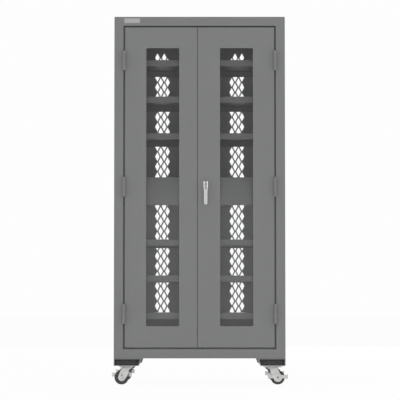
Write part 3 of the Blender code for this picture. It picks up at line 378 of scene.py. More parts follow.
def combined(meshes):
    """One mesh of several closed surfaces."""
    edit = bmesh.new()
    for mesh in meshes:
        weld(mesh)
        edit.from_mesh(mesh)
        bpy.data.meshes.remove(mesh)
    made = bpy.data.meshes.new("surface")
    edit.to_mesh(made)
    edit.free()
    return made


def bored(mesh, centre, radius, axis, reach):
    """The mesh with a round hole cut through it."""
    item = bpy.data.objects.new("bored", mesh)
    cutter = bpy.data.objects.new("drill", disc(centre, axis, radius, reach, -reach, steps=24))
    for part in (item, cutter):
        bpy.context.scene.collection.objects.link(part)
        weld(part.data)
    boolean = item.modifiers.new("drill", "BOOLEAN")
    boolean.object = cutter
    boolean.solver = "EXACT"
    depsgraph = bpy.context.evaluated_depsgraph_get()
    made = bpy.data.meshes.new_from_object(item.evaluated_get(depsgraph))
    bpy.data.objects.remove(item)
    bpy.data.objects.remove(cutter)
    return made


# A noise has its scale in waves to a metre, the range that it is spread over, and how much finer it
# is along X, Y and Z. A relief's range is its strength and its height in metres.
Noise = namedtuple("Noise", "scale detail low high stretch", defaults=((1.0, 1.0, 1.0),))
# A finish has its own plain colour only where the user doesn't choose it.
Finish = namedtuple("Finish", "name slot roughness metallic tint sheen relief specular plain",
                    defaults=(0.5, None))

# Satin powder coat: fine orange peel, a faint mottle and uneven sheen.
POWDER = Finish("powder_coat", "body_paint", 0.45, 0.0, Noise(3.0, 3.0, 0.975, 1.025),
                Noise(60.0, 4.0, 0.43, 0.49), Noise(620.0, 2.0, 0.06, 0.00006), 0.40)
# Bright zinc plating: clouded roughness and faint rolling marks.
ZINC = Finish("zinc_plate", "zinc", 0.32, 1.0, Noise(45.0, 5.0, 0.90, 1.06),
              Noise(140.0, 4.0, 0.26, 0.44), Noise(900.0, 2.0, 0.08, 0.0001, (1.0, 1.0, 0.15)))
# Moulded plastic with a spark-eroded grain.
PLASTIC = Finish("black_plastic", "black_plastic", 0.5, 0.0, Noise(50.0, 3.0, 0.94, 1.08),
                 Noise(500.0, 3.0, 0.42, 0.60), Noise(2200.0, 1.0, 0.20, 0.0001))
# Lines brushed along a plate's length.
BRUSHED = Noise(60.0, 5.0, 0.93, 1.07, (1.0, 1.0, 40.0))
FINISHES = {
    "paint": POWDER,
    # Painted shade: the powder coat darkened by the inner share, for the shelves, the cover and the posts.
    "inner_paint": POWDER._replace(name="inner_powder_coat", relief=POWDER.relief._replace(low=0.03)),
    "zinc": ZINC,
    # A darker zinc, on the lever's pocket floor and on one axle nut and bolt end of each caster.
    "recess": ZINC._replace(name="cast_recess", slot="chrome", plain=(0.33, 0.33, 0.33)),
    # Polished chrome over a casting: nearly mirror-like, with faint waviness.
    "chrome": Finish("chrome_plate", "chrome", 0.14, 1.0, Noise(80.0, 3.0, 0.97, 1.02),
                     Noise(160.0, 4.0, 0.10, 0.22), Noise(120.0, 2.0, 0.05, 0.0003)),
    # Moulded rubber: matt, slightly dusty, with a fine grain.
    "tread": Finish("tread_rubber", "tread", 0.72, 0.0, Noise(70.0, 5.0, 0.85, 1.25),
                    Noise(240.0, 4.0, 0.62, 0.84), Noise(1400.0, 2.0, 0.25, 0.0002)),
    "plastic": PLASTIC,
    "core": PLASTIC._replace(name="grey_plastic", slot="tread", plain=(0.11, 0.11, 0.115)),
    "face": PLASTIC._replace(name="outlet_face", plain=(0.10, 0.10, 0.10)),
    # Satin metal plate.
    "plate": Finish("brushed_plate", "zinc", 0.42, 0.6, BRUSHED, BRUSHED._replace(low=0.36, high=0.50),
                    BRUSHED._replace(low=0.10, high=0.0001)),
    # Clear sheet: its pale colour shows only in the veil over it, as painted reflection and painted light.
    "clear": Finish("clear_sheet", "clear_sheet", 0.04, 0.0, None, Noise(12.0, 3.0, 0.02, 0.07), None,
                    plain=(0.80, 0.81, 0.81)),
}


def add_node(tree, kind, inputs, **settings):
    """A shader node with its settings, each of its inputs given a plain value or a link."""
    node = tree.nodes.new("ShaderNode" + kind)
    for name, value in settings.items():
        setattr(node, name, value)
    for socket, value in inputs.items():
        if isinstance(value, NodeSocket):
            tree.links.new(value, node.inputs[socket])
        else:
            node.inputs[socket].default_value = value
    return node


def calculate(tree, operation, *values):
    """The result of one math node over plain values and sockets."""
    return add_node(tree, "Math", dict(enumerate(values)), operation=operation).outputs["Value"]


def noise(tree, settings):
    """Noise in object coordinates."""
    place = add_node(tree, "TexCoord", {}).outputs["Object"]
    place = add_node(tree, "Mapping", {"Vector": place, "Scale": settings.stretch}).outputs["Vector"]
    inputs = {"Vector": place, "Scale": settings.scale, "Detail": settings.detail}
    return add_node(tree, "TexNoise", inputs).outputs["Fac"]


def spread(tree, value, low, high, start=0.3, end=0.7):
    """A value carried from its own range, which for a noise is its middle one, to another."""
    inputs = {"Value": value, "From Min": start, "From Max": end, "To Min": low, "To Max": high}
    return add_node(tree, "MapRange", inputs).outputs["Result"]


def spread_noise(tree, settings):
    """Noise in object coordinates, spread over its own range."""
    return spread(tree, noise(tree, settings), settings.low, settings.high)


def new_material(name, plain, roughness, metallic=0.0):
    """A material with its plain values on the shader's own sockets."""
    material = bpy.data.materials.new(name)
    material.use_nodes = True
    tree = material.node_tree
    shader = tree.nodes["Principled BSDF"]
    shader.inputs["Base Color"].default_value = (*plain, 1.0)
    shader.inputs["Roughness"].default_value = roughness
    shader.inputs["Metallic"].default_value = metallic
    return material, tree, shader


def textured(finish, plain):
    """Material whose colour, between two shares of itself, roughness and relief each follow a noise."""
    material, tree, shader = new_material(finish.name, plain, finish.roughness, finish.metallic)
    shader.inputs["Specular IOR Level"].default_value = finish.specular
    tint, relief = finish.tint, finish.relief
    darkest, lightest = [(*(part * share for part in plain), 1.0) for share in (tint.low, tint.high)]
    blend = {"Factor": spread(tree, noise(tree, tint), 0.0, 1.0), "A": darkest, "B": lightest}
    tinted = add_node(tree, "Mix", blend, data_type="RGBA").outputs["Result"]
    height = {"Height": noise(tree, relief), "Strength": relief.low, "Distance": relief.high}
    tree.links.new(tinted, shader.inputs["Base Color"])
    tree.links.new(spread_noise(tree, finish.sheen), shader.inputs["Roughness"])
    tree.links.new(add_node(tree, "Bump", height).outputs["Normal"], shader.inputs["Normal"])
    return material


def clear_sheet(finish, plain):
    """Clear polycarbonate under a thin pale veil: a painted reflection that is stronger at a slant, and
    painted light from the floor in the lower half.
    """
    material, tree, shader = new_material(finish.name, plain, finish.roughness)
    # The veil is painted: a painted reflection head on and more at a slant, and painted light from the
    # floor in the lower half.
    head_on, painted_slant_reflection, painted_floor_light, fade, steepness = 0.028, 0.18, 0.026, (0.98, 1.12), 3.0
    facing = add_node(tree, "LayerWeight", {"Blend": 0.5}).outputs["Facing"]
    slant = calculate(tree, "POWER", facing, steepness)
    place = add_node(tree, "TexCoord", {}).outputs["Object"]
    height = add_node(tree, "SeparateXYZ", {"Vector": place}).outputs["Z"]
    painted_veil = calculate(tree, "ADD", spread(tree, slant, head_on, painted_slant_reflection, 0.0, 1.0),
                     spread(tree, height, painted_floor_light, 0.0, *fade))
    tree.links.new(painted_veil, shader.inputs["Alpha"])
    tree.links.new(spread_noise(tree, finish.sheen), shader.inputs["Roughness"])
    return material


@cache
def material_for(name):
    """The material of a finish, made at its first use and kept for the pieces that follow."""
    finish, chosen = FINISHES[name], bpy.context.scene.cabinet_finishes
    # The inner coat is the paint darkened by the inner share as painted shade.
    if name == "inner_paint":
        plain = tuple(part * chosen.inner_shade_share for part in chosen.paint)
    else:
        plain = finish.plain or tuple(getattr(chosen, name))
    return clear_sheet(finish, plain) if name == "clear" else textured(finish, plain)


def dress(node, finish):
    """Give a frame node that stays in view its finished material."""
    item = frame["nodes"][node]
    item.data.materials.clear()
    item.data.materials.append(material_for(finish))


def add_piece(name, meshes, finish, *nodes, body="cabinet", slot=None, sharp=32.0):
    """Join a piece's meshes, finish it and let it ride on its body in place of the nodes."""
    mesh = combined(meshes)
    mesh.name = name
    mesh.shade_smooth()
    mesh.set_sharp_from_angle(angle=math.radians(sharp))
    mesh.materials.append(material_for(finish))
    piece = bpy.data.objects.new(name, mesh)
    bpy.context.scene.collection.objects.link(piece)
    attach(piece, body)
    if nodes:
        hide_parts(*nodes)


def add_wrap(sizes):
    """Sides and top in one sheet: a rectangle of sheet and depth carried over an arch."""
    arch = [(HALF_WIDTH, BOTTOM), (HALF_WIDTH, TOP), (-HALF_WIDTH, TOP), (-HALF_WIDTH, BOTTOM)]
    outer = bent(arch, sizes.shell_corner, sizes.corner_steps)
    inner = outer + left_normals(outer) * SHEET
    near, far = FRONT + SHEET, BACK_LOW[1] - SEAT_GAP
    section = ((outer, near), (outer, far), (inner, far), (inner, near))
    loops = np.stack([in_space(line, depth) for line, depth in section], axis=1)
    add_piece("shell_wrap", [loft(loops)], "paint", "side_panel_left", "side_panel_right", "top_panel")


def add_face_frame(sizes):
    """Face frame: rectangle loops from the outer edge over the face into the opening and back."""
    steps, rod_hole, hole_corner, flange_corner = sizes.corner_steps, 0.0063, 0.0012, 0.001
    jamb, back = JAMB - FRONT, JAMB - FRONT + SHEET
    lip = OPENING_HALF - abs(node_box("stile_left")[1][0])
    edge = quarter(sizes.frame_edge)
    low, high = np.array([-HALF_WIDTH, BOTTOM]), np.array([HALF_WIDTH, TOP])
    loops = rings([(0.0, SHEET), *edge], low, high, sizes.shell_corner, FRONT, steps)
    low, high = np.array([-OPENING_HALF, OPENING_BOTTOM]), np.array([OPENING_HALF, OPENING_TOP])
    path = [*edge[:, ::-1] * (-1.0, 1.0), (0.0, jamb), (lip, jamb), (lip, back), (-SHEET, back),
            (-SHEET, SHEET)]
    loops += rings(path, low, high, hole_corner, FRONT, steps, least=hole_corner)
    mesh = loft(loops, cyclic=True)
    low, high = node_box("latch_rod_upper")
    across, along = (low + high)[:2] / 2.0
    for level in (OPENING_TOP, OPENING_BOTTOM):
        mesh = bored(mesh, (across, along, level), rod_hole, "Z", 3.0 * SHEET)
    inner = OPENING_HALF - SEAT_GAP
    flange = plate((-inner, FRONT + SHEET), (inner, JAMB), flange_corner, 2, BOTTOM, BOTTOM + SHEET,
                   sizes.edge, "XY")
    add_piece("face_frame", [mesh, flange], "paint", "stile_left", "stile_right", "header", "sill")


class CABINET_OT_shell(Operator):
    """Build the wrapped shell, the welded face frame and the floor pan"""

    bl_idname = "cabinet.shell"
    bl_label = "Build Shell"

    def execute(self, context):
        sizes = context.scene.cabinet_sizes
        add_wrap(sizes)
        add_face_frame(sizes)
        floor = pan("floor_pan", sizes.bend, sizes.bend, SHEET, sizes.corner_steps)
        add_piece("raised_floor", [floor], "paint", "floor_pan")
        dress("back_panel", "paint")
        return {"FINISHED"}


class CABINET_OT_shelves(Operator):
    """Build the shelves, the cover over the wiring and the posts' finish"""

    bl_idname = "cabinet.shelves"
    bl_label = "Build Shelves"

    def execute(self, context):
        sizes = context.scene.cabinet_sizes
        corner, bend, sheet = 0.0015, 0.0022, 0.0015
        # The shelves, the cover and the posts take the paint darkened as painted shade.
        for number in range(1, 8):
            shelf = pan(f"shelf_{number}", corner, bend, sheet, 4)
            add_piece(f"shelf_pan_{number}", [shelf], "inner_paint", f"shelf_{number}")
        low, high = node_box("wiring_cover")
        fold = [(low[1], high[2]), (low[1], low[2]), (high[1], low[2])]
        line = bent(fold, sizes.bend, sizes.corner_steps)
        cover = slab(sheet_outline(line, SHEET), low[0], high[0], sizes.edge, "YZ")
        add_piece("cover_plate", [cover], "inner_paint", "wiring_cover")
        for side, row in CORNERS:
            dress(f"shelf_post_{side}_{row}", "inner_paint")
        return {"FINISHED"}


def add_strip(name):
    """A strip's moulding, and a proud face with three dark slots for each outlet."""
    low, high = node_box(name)
    pitch, ends, face_half, face_corner, sunk = 0.096, 0.08, 0.0165, 0.006, 0.0004
    front, proud = low[1], low[1] - 0.0012
    openings = (((-0.006, 0.003), (0.0009, 0.0042)), ((0.006, 0.003), (0.0009, 0.0036)),
                ((0.0, -0.0085), (0.0024, 0.0024)))
    corners = [(low[0], high[1]), (low[0], low[1]), (high[0], low[1]), (high[0], high[1])]
    outline = round_corners(corners, (0.0005, 0.004, 0.004, 0.0005), steps=5)
    moulding = slab(outline, low[2], high[2], edge=0.0012, plane="XY")
    add_piece(f"{name}_moulding", [moulding], "plastic", name)
    outlets = int((high[2] - low[2] - ends) / pitch) + 1
    levels = (low[2] + high[2]) / 2.0 + pitch * (np.arange(outlets) - (outlets - 1) / 2.0)
    faces, slots = [], []
    for level in levels:
        middle = np.array([0.0, level])
        faces.append(plate(middle - face_half, middle + face_half, face_corner, 4, proud, front + sunk,
                           edge=sunk))
        for spot, half in np.array(openings):
            centre = middle + spot
            slots.append(plate(centre - half, centre + half, half[0] * 0.9, 3, proud - 0.00015,
                               proud + 0.0001, edge=0.00005))
    add_piece(f"{name}_faces", faces, "face")
    add_piece(f"{name}_slots", slots, "plastic")


class CABINET_OT_power(Operator):
    """Build the outlet strips and the inlet"""

    bl_idname = "cabinet.power"
    bl_label = "Build Power Strips"

    def execute(self, context):
        add_strip("power_strip_upper")
        add_strip("power_strip_lower")
        dress("power_inlet", "plastic")
        low, high = node_box("power_inlet")
        near, far, edge, blades = low[1] + 0.003, high[1] - 0.006, 0.0003, []
        half = np.array([0.001, 0.0022])
        for spot in ((-0.007, -0.003), (0.007, -0.003), (0.0, 0.005)):
            middle = (low + high)[[0, 2]] / 2.0 + spot
            blades.append(plate(middle - half, middle + half, 0.0004, 2, near, far, edge))
        add_piece("inlet_blades", blades, "zinc")
        return {"FINISHED"}


def door_loops(side, sign, window_low, window_high, sizes):
    """Door pan: loops from the window's edge over the face, round the folds and back inside.

    The fold at the meeting edge leans back by the recess, in proportion to its depth.
    """
    low, high = [corner[[0, 2]] for corner in node_box(f"door_{side}")]
    lip, recess, corner, steps = 0.014, 0.003, 0.0016, sizes.corner_steps
    mirror, rear = (1.0, -1.0), (0.0, DOOR_DEPTH)
    cut = quarter(sizes.edge) * (-1.0, 1.0)
    fold = quarter(sizes.bend)[:, ::-1]
    inside = SHEET + quarter(sizes.bend - SHEET)[:, ::-1]
    path = [*fold, *fold[::-1] * mirror + rear, (lip, DOOR_DEPTH), (lip, DOOR_DEPTH - SHEET),
            *inside * mirror + rear, *inside[::-1]]
    window = rings([(0.0, SHEET), *cut], window_low, window_high, sizes.window_corner, FRONT, steps)
    outer = np.array(rings(path, low, high, corner, FRONT, steps))
    meeting = low[0] if sign > 0.0 else high[0]
    near = np.abs(outer[..., 0] - meeting) < (high[0] - low[0]) / 2.0
    outer[..., 0] += near * sign * recess * (outer[..., 1] - FRONT) / DOOR_DEPTH
    return np.concatenate([window, outer])


def with_rod_eyes(mesh, sizes):
    """The right door drilled for its rods, with two eyes that the rods slide in."""
    low, high = node_box("latch_rod_upper")
    across, back = (low[:2] + high[:2]) / 2.0
    bore, half, wall, apart = (high[0] - low[0]) / 2.0 + 0.0005, 0.008, 0.0026, 0.09
    for level in (RIGHT_LOW[2], RIGHT_HIGH[2]):
        mesh = bored(mesh, (across, back, level), bore, "Z", 2.0 * SHEET)
    parts = [mesh]
    ring = np.array([(0.0, half), (0.0, -half), (wall - 0.0004, -half), (wall, 0.0006 - half),
                     (wall, half - 0.0006), (wall - 0.0004, half)]) + (bore, 0.0)
    foot_half = np.array([0.014, 0.0078])
    for level in (LEVER_PIVOT[2] - apart, LEVER_PIVOT[2] + apart):
        parts.append(turned(ring, (across, back, level), "Z", steps=32, ring=True))
        foot = np.array([across, level])
        parts.append(plate(foot - foot_half, foot + foot_half, 0.002, 3, FRONT + SHEET, back - bore,
                           sizes.edge))
    return parts


def pane_channels(pane_low, pane_high, low, high):
    """Channels down both sides of a window: a bent sheet's outline carried up the door."""
    sheet, flange, grip, rivets = 0.0015, 0.012, 0.0085, 7
    inside, ledge = FRONT + SHEET + sheet, pane_high[1] + SEAT_GAP + sheet
    parts = []
    for edge, outward in ((pane_low[0], -1.0), (pane_high[0], 1.0)):
        wall = edge + outward * 0.001
        line = bent([(wall + outward * flange, inside), (wall, inside), (wall, ledge),
                     (wall - outward * grip, ledge)], (0.0006, 0.0021))
        parts.append(slab(sheet_outline(line, outward * sheet), low, high, edge=0.0002, plane="XY"))
        for level in np.linspace(low + 0.05, high - 0.05, rivets):
            spot = (wall + outward * 0.0072, inside + 0.0001, level)
            parts.append(screw_head(spot, "Y", 1.0, radius=0.0030, height=0.0012))
    return parts


class CABINET_OT_doors(Operator):
    """Build both doors with their window channels, panes and rod eyes"""

    bl_idname = "cabinet.doors"
    bl_label = "Build Doors"

    def execute(self, context):
        sizes = context.scene.cabinet_sizes
        lap, pane_corner = 0.011, 0.003
        for side, sign in SIDES.items():
            body = f"{side}_door"
            low, high = node_box(f"window_pane_{side}")
            window_low, window_high = low[[0, 2]] + lap, high[[0, 2]] - lap
            parts = [loft(door_loops(side, sign, window_low, window_high, sizes), cyclic=True)]
            if side == "right":
                parts = with_rod_eyes(parts[0], sizes)
            add_piece(f"door_pan_{side}", parts, "paint", f"door_{side}", body=body)
            channels = pane_channels(low, high, window_low[1] - 0.03, window_high[1] + 0.03)
            add_piece(f"pane_channels_{side}", channels, "paint", body=body)
            pane = plate(low[[0, 2]], high[[0, 2]], pane_corner, 4, low[1], high[1], sizes.edge)
            add_piece(f"clear_pane_{side}", [pane], "clear", f"window_pane_{side}", body=body)
        return {"FINISHED"}


def hinge_leaf(centre, faces, owned, steps, outward):
    """One leaf: a plate with a tongue to each knuckle that it owns, and those knuckles."""
    tall, radius, bore, gap = 0.105, 0.0083, 0.0034, 0.0004
    back, clear, root = FRONT + 0.023, centre[1] + radius + 0.0008, centre[1] + 0.0030
    spans = centre[2] + tall / 2.0 - np.arange(6) * tall / 5.0
    front = []
    for index in range(5):
        reach = root if index in owned else clear
        front += [(reach, spans[index] - gap / 2.0), (reach, spans[index + 1] + gap / 2.0)]
    outline = [(back, spans[0] - gap), *front, (back, spans[5] + gap)]
    radii = np.zeros(len(outline))
    radii[[0, -1]] = 0.004
    parts = [slab(without_repeats(round_corners(outline, radii)), *faces, edge=0.0003, plane="YZ")]
    for index in owned:
        high, low = spans[index] - gap / 2.0, spans[index + 1] + gap / 2.0
        rounded = round_corners([(bore, low), (radius, low), (radius, high), (bore, high)],
                                (0.0001, 0.0008, 0.0008, 0.0001), steps=3)
        parts.append(turned(rounded - (0.0, centre[2]), centre, "Z", steps, ring=True))
    face = faces[0] if outward < 0.0 else faces[1]
    for share in (-0.36, 0.0, 0.36):
        spot = (face, FRONT + 0.0145, centre[2] + share * tall)
        parts.append(screw_head(spot, "X", outward, radius=0.0032, height=0.0005))
    return parts


def hinge_pin(centre, steps):
    """The pin, with a low button at each end."""
    base, radius, head, rise = 0.0525 + SEAT_GAP, 0.0032, 0.0052, 0.0015
    upper = np.concatenate([dome(head, rise, 4) + (0.0, base), [(head, base), (radius, base)]])
    return turned(np.concatenate([upper, (upper * (1.0, -1.0))[::-1]]), centre, "Z", steps)


class CABINET_OT_hinges(Operator):
    """Build the six butt hinges: frame leaves, door leaves, knuckles and pins"""

    bl_idname = "cabinet.hinges"
    bl_label = "Build Hinges"

    def execute(self, context):
        steps = context.scene.cabinet_sizes.round_steps
        thick = 0.0025
        for side, sign in SIDES.items():
            pin = PIVOTS[f"{side}_door_hinge"]
            for place in ("top", "middle", "bottom"):
                node = f"hinge_{side}_{place}"
                low, high = node_box(node)
                centre = np.array([pin[0], pin[1], (low[2] + high[2]) / 2.0])
                door_edge = abs(pin[0]) - DOOR_GAP / 2.0 + SEAT_GAP
                frame_faces = sorted((sign * OPENING_HALF, sign * (OPENING_HALF - thick)))
                door_faces = sorted((sign * door_edge, sign * (door_edge + thick)))
                fixed = hinge_leaf(centre, frame_faces, (0, 2, 4), steps, -sign)
                swinging = hinge_leaf(centre, door_faces, (1, 3), steps, sign)
                swinging.append(hinge_pin(centre, steps))
                add_piece(f"frame_leaf_{side}_{place}", fixed, "paint")
                add_piece(f"door_leaf_{side}_{place}", swinging, "paint", node, body=f"{side}_door")
        return {"FINISHED"}


def lever_outline(number):
    """Lever seen from the front: a notched head that narrows to a bar with a round tip."""
    low, high = node_box("handle")
    top, bottom = high[2] - LEVER_PIVOT[2], LEVER_PIVOT[2] - low[2]
    head, neck, tip = (high[0] - low[0]) / 2.0, 0.0098, 0.0088
    right = [(0.0, top - 0.0072), (0.0028, top - 0.0066), (0.0044, top), (head, top),
             (head, 0.004), (neck, -0.026), (tip, -bottom)]
    radii = [0.0, 0.0020, 0.0016, 0.0050, 0.030, 0.030, 0.0042]
    left = [(-x, z) for x, z in right[:0:-1]]
    return even_points(round_corners(right + left, radii + radii[:0:-1], steps=10), number)


def add_lever(sizes):
    """Lever: loops from the pocket's floor up its wall, over the crowned face and round the edge."""
    number, depth, lip, crown, radius = 192, 0.0050, 0.0009, 0.0016, sizes.lever_edge
    slot_half, slot_top, slot_bottom = 0.0056, 0.0205, 0.0140
    face, back = node_box("handle")[0][1], FRONT - 0.010
    seat = (LEVER_PIVOT[0], FRONT, LEVER_PIVOT[2])
    outline = lever_outline(number)
    slot = capsule(slot_half, slot_top, slot_bottom, number)
    path = [(inset(slot, 0.0008), face + depth), (slot, face + depth - 0.0008)]
    path += [(inset(slot, -grow), face + sink) for grow, sink in quarter(lip)]
    rim, brow = inset(slot, -lip), inset(outline, radius)
    path += [(rim + (brow - rim) * share, face + crown * share ** 2)
             for share in np.linspace(0.0, 1.0, 9)[1:]]
    path += [(inset(outline, shrink), face + crown + sink) for sink, shrink in quarter(radius, 7)[1:]]
    path += [(outline, back - 0.0012), (inset(outline, 0.0004), back - 0.0004),
             (inset(outline, 0.0012), back)]
    lever = loft_path([(line + LEVER_PIVOT[[0, 2]], along) for line, along in path])
    neck = bent([(0.0, FRONT - back), (0.0118, FRONT - back), (0.0135, SEAT_GAP), (0.0, SEAT_GAP)],
                (0.0004, 0.0010), steps=5)
    collar = turned(neck * (1.0, -1.0), seat, "Y", sizes.round_steps)
    spindle = disc(seat, "Y", radius=0.0084, start=0.0069, end=-0.002, steps=32)
    add_piece("lever", [lever, collar, spindle], "chrome", "handle", body="handle", sharp=50.0)
    floor = inset(slot, 0.0009) + LEVER_PIVOT[[0, 2]]
    liner = slab(floor, face + depth - 0.0004, face + depth + 0.0002, edge=0.0001)
    add_piece("lever_recess", [liner], "recess", body="handle")


def add_plug():
    """Lock plug: loops from the keyway's floor out to a chamfered round edge."""
    low, high = node_box("lock_plug")
    centre, radius, number = (low + high)[[0, 2]] / 2.0, (high[0] - low[0]) / 2.0, 64
    front, deep, chamfer, key_half, key_reach = low[1] + 0.0030, 0.0025, 0.0006, 0.00075, 0.0027
    keyway = even_points(capsule(key_half, key_reach, key_reach, number), number)
    circle = arc((0.0, 0.0), 1.0, 90.0, -270.0, number)[:-1]
    path = ((keyway, front + deep), (keyway, front), (circle * (radius - chamfer), front),
            (circle * radius, front + chamfer), (circle * radius, high[1]))
    plug = loft_path([(line + centre, along) for line, along in path])
    add_piece("lock_cylinder", [plug], "chrome", "lock_plug", body="lock_plug")


def add_cam():
    """Latch cam: a round-ended bar with a nut on the spindle."""
    low, high = node_box("latch_cam")
    centre, half = (low + high) / 2.0, (high[2] - low[2]) / 2.0
    bar = plate(low[[0, 2]], high[[0, 2]], half - 0.0001, 12, low[1], high[1], edge=0.0004)
    nut = hexagon((centre[0], high[1], centre[2]), "Y", radius=0.0075, low=-0.0002, high=0.0036)
    add_piece("cam_bar", [bar, nut], "zinc", "latch_cam", body="handle")


def add_rod(name, sign):
    """Rod: a round bar with a tapered tip and a rounded inner end."""
    node, taper = f"latch_rod_{name}", 0.008
    low, high = node_box(node)
    radius, half = (high[0] - low[0]) / 2.0, (high[2] - low[2]) / 2.0
    points = [(0.0, half), (radius * 0.5, half), (radius, half - taper), (radius, -half), (0.0, -half)]
    profile = bent(points, (0.0009, 0.003, 0.0008))
    rod = turned(profile * (1.0, sign), (low + high) / 2.0, "Z", steps=32)
    add_piece(f"rod_{name}", [rod], "zinc", node, body=f"{name}_rod")


class CABINET_OT_lever(Operator):
    """Build the lever with its lock pocket, the lock plug, the cam and the rods"""

    bl_idname = "cabinet.lever"
    bl_label = "Build Lever and Latch"

    def execute(self, context):
        add_lever(context.scene.cabinet_sizes)
        add_plug()
        add_cam()
        add_rod("upper", 1.0)
        add_rod("lower", -1.0)
        return {"FINISHED"}


class CABINET_OT_risers(Operator):
    """Build the boxed risers under the corners"""

    bl_idname = "cabinet.risers"
    bl_label = "Build Risers"

    def execute(self, context):
        edge, wall, flare = context.scene.cabinet_sizes.edge, 0.0048, 0.014
        for side, row in CORNERS:
            sign = SIDES[side]
            low, high = node_box(f"riser_{side}_{row}")
            outer = sign * max(abs(low[0]), abs(high[0]))
            inner = outer - sign * (high[0] - low[0])
            corners = [(outer, high[2]), (outer, low[2]), (inner + sign * flare, low[2]), (inner, high[2])]
            outline = round_corners(corners, (0.001, 0.0035, 0.0035, 0.001), steps=5)
            inner_corners = inset(np.array(corners), wall)
            hole = round_corners(inner_corners, (0.0008, 0.0012, 0.0012, 0.0008), steps=5)
            mouth, inward = (low[1], 1.0) if row == "front" else (high[1], -1.0)
            deep = high[1] - low[1]
            path = ((hole, deep - wall), (hole, edge), (inset(hole, -edge), 0.0),
                    (inset(outline, edge), 0.0), (outline, edge), (outline, deep - edge),
                    (inset(outline, edge), deep))
            riser = loft_path([(line, mouth + inward * along) for line, along in path])
            add_piece(f"boxed_riser_{side}_{row}", [riser], "paint", f"riser_{side}_{row}")
        return {"FINISHED"}


def add_top(corner, swivel, sizes):
    """Top plate, its bolts, and the ball race turned about the swivel axis."""
    node, thick, inward, bolt, washer = f"caster_plate_{corner}", 0.0045, 0.0135, 0.0065, 0.0085
    low, high = node_box(node)
    under = high[2] - thick
    race = bent([(0.0, 0.0), (0.026, 0.0), (0.0312, -0.0020), (0.0312, -0.0052), (0.0290, -0.0070),
                 (0.0, -0.0070)], (0.001, 0.0008, 0.0008, 0.0006))
    parts = [plate(low[:2], high[:2], 0.009, 6, under, high[2], edge=0.0008, plane="XY"),
             turned(race, (*swivel[:2], under), "Z", sizes.round_steps)]
    for across in (low[0] + inward, high[0] - inward):
        for along in (low[1] + inward, high[1] - inward):
            spot = (across, along, under)
            parts.append(hexagon(spot, "Z", bolt, low=-0.0045, high=0.0001))
            parts.append(disc(spot, "Z", washer, start=0.0001, end=-0.0009, steps=24))
    add_piece(f"top_plate_{corner}", parts, "zinc", node)


def add_fork(corner, out, swivel, axle, sizes):
    """Fork: a strip bent over the wheel, whose two edges follow the leg's outline at each height."""
    node = f"fork_{corner}"
    sheet, half, top, bend, radius = 0.0035, 0.02275, node_box(node)[1][2], 0.0046, 0.0193
    tip, rises, columns, spare_hole = np.array([-0.0252, axle[2]]), 28, 5, 0.0035
    trail = np.concatenate([arc(tip, radius, 269.9, 168.0, 24), [(-0.0392, 0.0585), (-0.0251, top)]])
    front = [tip + radius * np.array([0.866, -0.5]), (0.0049, 0.0483), (0.0125, 0.0705), (0.0137, top)]
    lead = np.concatenate([arc(tip, radius, -90.1, -31.0, 24), bent(front, (0.030, 0.024), steps=6)])
    foot = tip[1] - radius + 0.00002
    strip = bent([(-half, foot), (-half, top), (half, top), (half, foot)], bend, steps=10)
    legs = np.linspace(0.0, 1.0, rises, endpoint=False) ** 1.6
    left_leg = np.stack([np.full(rises, -half), foot + (strip[1, 1] - foot) * legs], axis=1)
    outer = np.concatenate([left_leg, strip[1:-1], left_leg[::-1] * (-1.0, 1.0)])
    inner = outer - left_normals(outer) * sheet
    low_edge, high_edge = [np.interp(outer[:, 1], side[:, 1], side[:, 0]) for side in (trail, lead)]
    rows = low_edge[:, None] + (high_edge - low_edge)[:, None] * np.linspace(0.0, 1.0, columns)
    face, back = [in_space(np.repeat(line[:, None], columns, axis=1), rows, "YZ")
                  for line in (outer, inner)]
    loops = np.concatenate([face, back[:, ::-1]], axis=1) * (-out, 1.0, 1.0) + (*swivel[:2], 0.0)
    spare = (swivel[0] + out * 0.0242, swivel[1] + out * (half - sheet / 2.0), 0.0505)
    crown = (*swivel[:2], top)
    parts = [
        bored(loft(loops), spare, spare_hole, "Y", sheet),
        disc(crown, "Z", 0.030, 0.0, -0.0040, sizes.round_steps, rounds=(0.0008, 0.0014)),
        hexagon(crown, "Z", radius=0.0085, low=-0.0082, high=-0.0038),
    ]
    near, bolt = half + 0.0001, []
    proud = near + 0.0036
    washer, nut, end, pin = 0.0082, 0.0068, 0.0036, 0.0046
    for way, reach, group in ((-out, proud, bolt), (out, near, parts)):
        seat, crest, point = way * (reach + 0.0010), way * (reach + 0.0044), way * (reach + 0.0056)
        parts.append(disc(axle, "Y", washer, way * reach, seat, steps=32))
        group.append(hexagon(axle, "Y", nut, min(seat, crest), max(seat, crest)))
        group.append(disc(axle, "Y", end, way * reach, point, steps=24, rounds=(0.0, 0.0007)))
    parts.append(disc(axle, "Y", pin, out * near, -out * proud, steps=32))
    add_piece(f"yoke_{corner}", parts, "zinc", node, body=node, sharp=38.0)
    add_piece(f"axle_nut_{corner}", bolt, "recess", body=node, slot="zinc")


def add_wheel(corner, axle, sizes):
    """Wheel: a tread with round shoulders over a moulded core with a thin web and a hub."""
    node, radius, half, crowned = f"wheel_{corner}", axle[2], 0.016, 0.0008
    rim, shoulder, steps = radius - 0.0085, sizes.tread_shoulder, sizes.round_steps * 2
    tread = [(rim, -half), (radius - crowned, -half), (radius, 0.0), (radius - crowned, half), (rim, half)]
    tread = round_corners(tread, (0.0002, shoulder, 0.06, shoulder, 0.0002), steps=8)
    side = [(0.0051, 0.0185), (0.0125, 0.0185), (0.0130, 0.0075), (0.0245, 0.0060), (0.0258, 0.0138),
            (rim - 0.0001, 0.0145)]
    radii = [0.0006, 0.0010, 0.0030, 0.0022, 0.0010, 0.0002]
    core = round_corners(side + [(r, -h) for r, h in side[::-1]], radii + radii[::-1])
    add_piece(f"tread_{corner}", [turned(tread, axle, "Y", steps, ring=True)], "tread", node, body=node)
    add_piece(f"wheel_core_{corner}", [turned(core, axle, "Y", steps, ring=True)], "core", body=node)


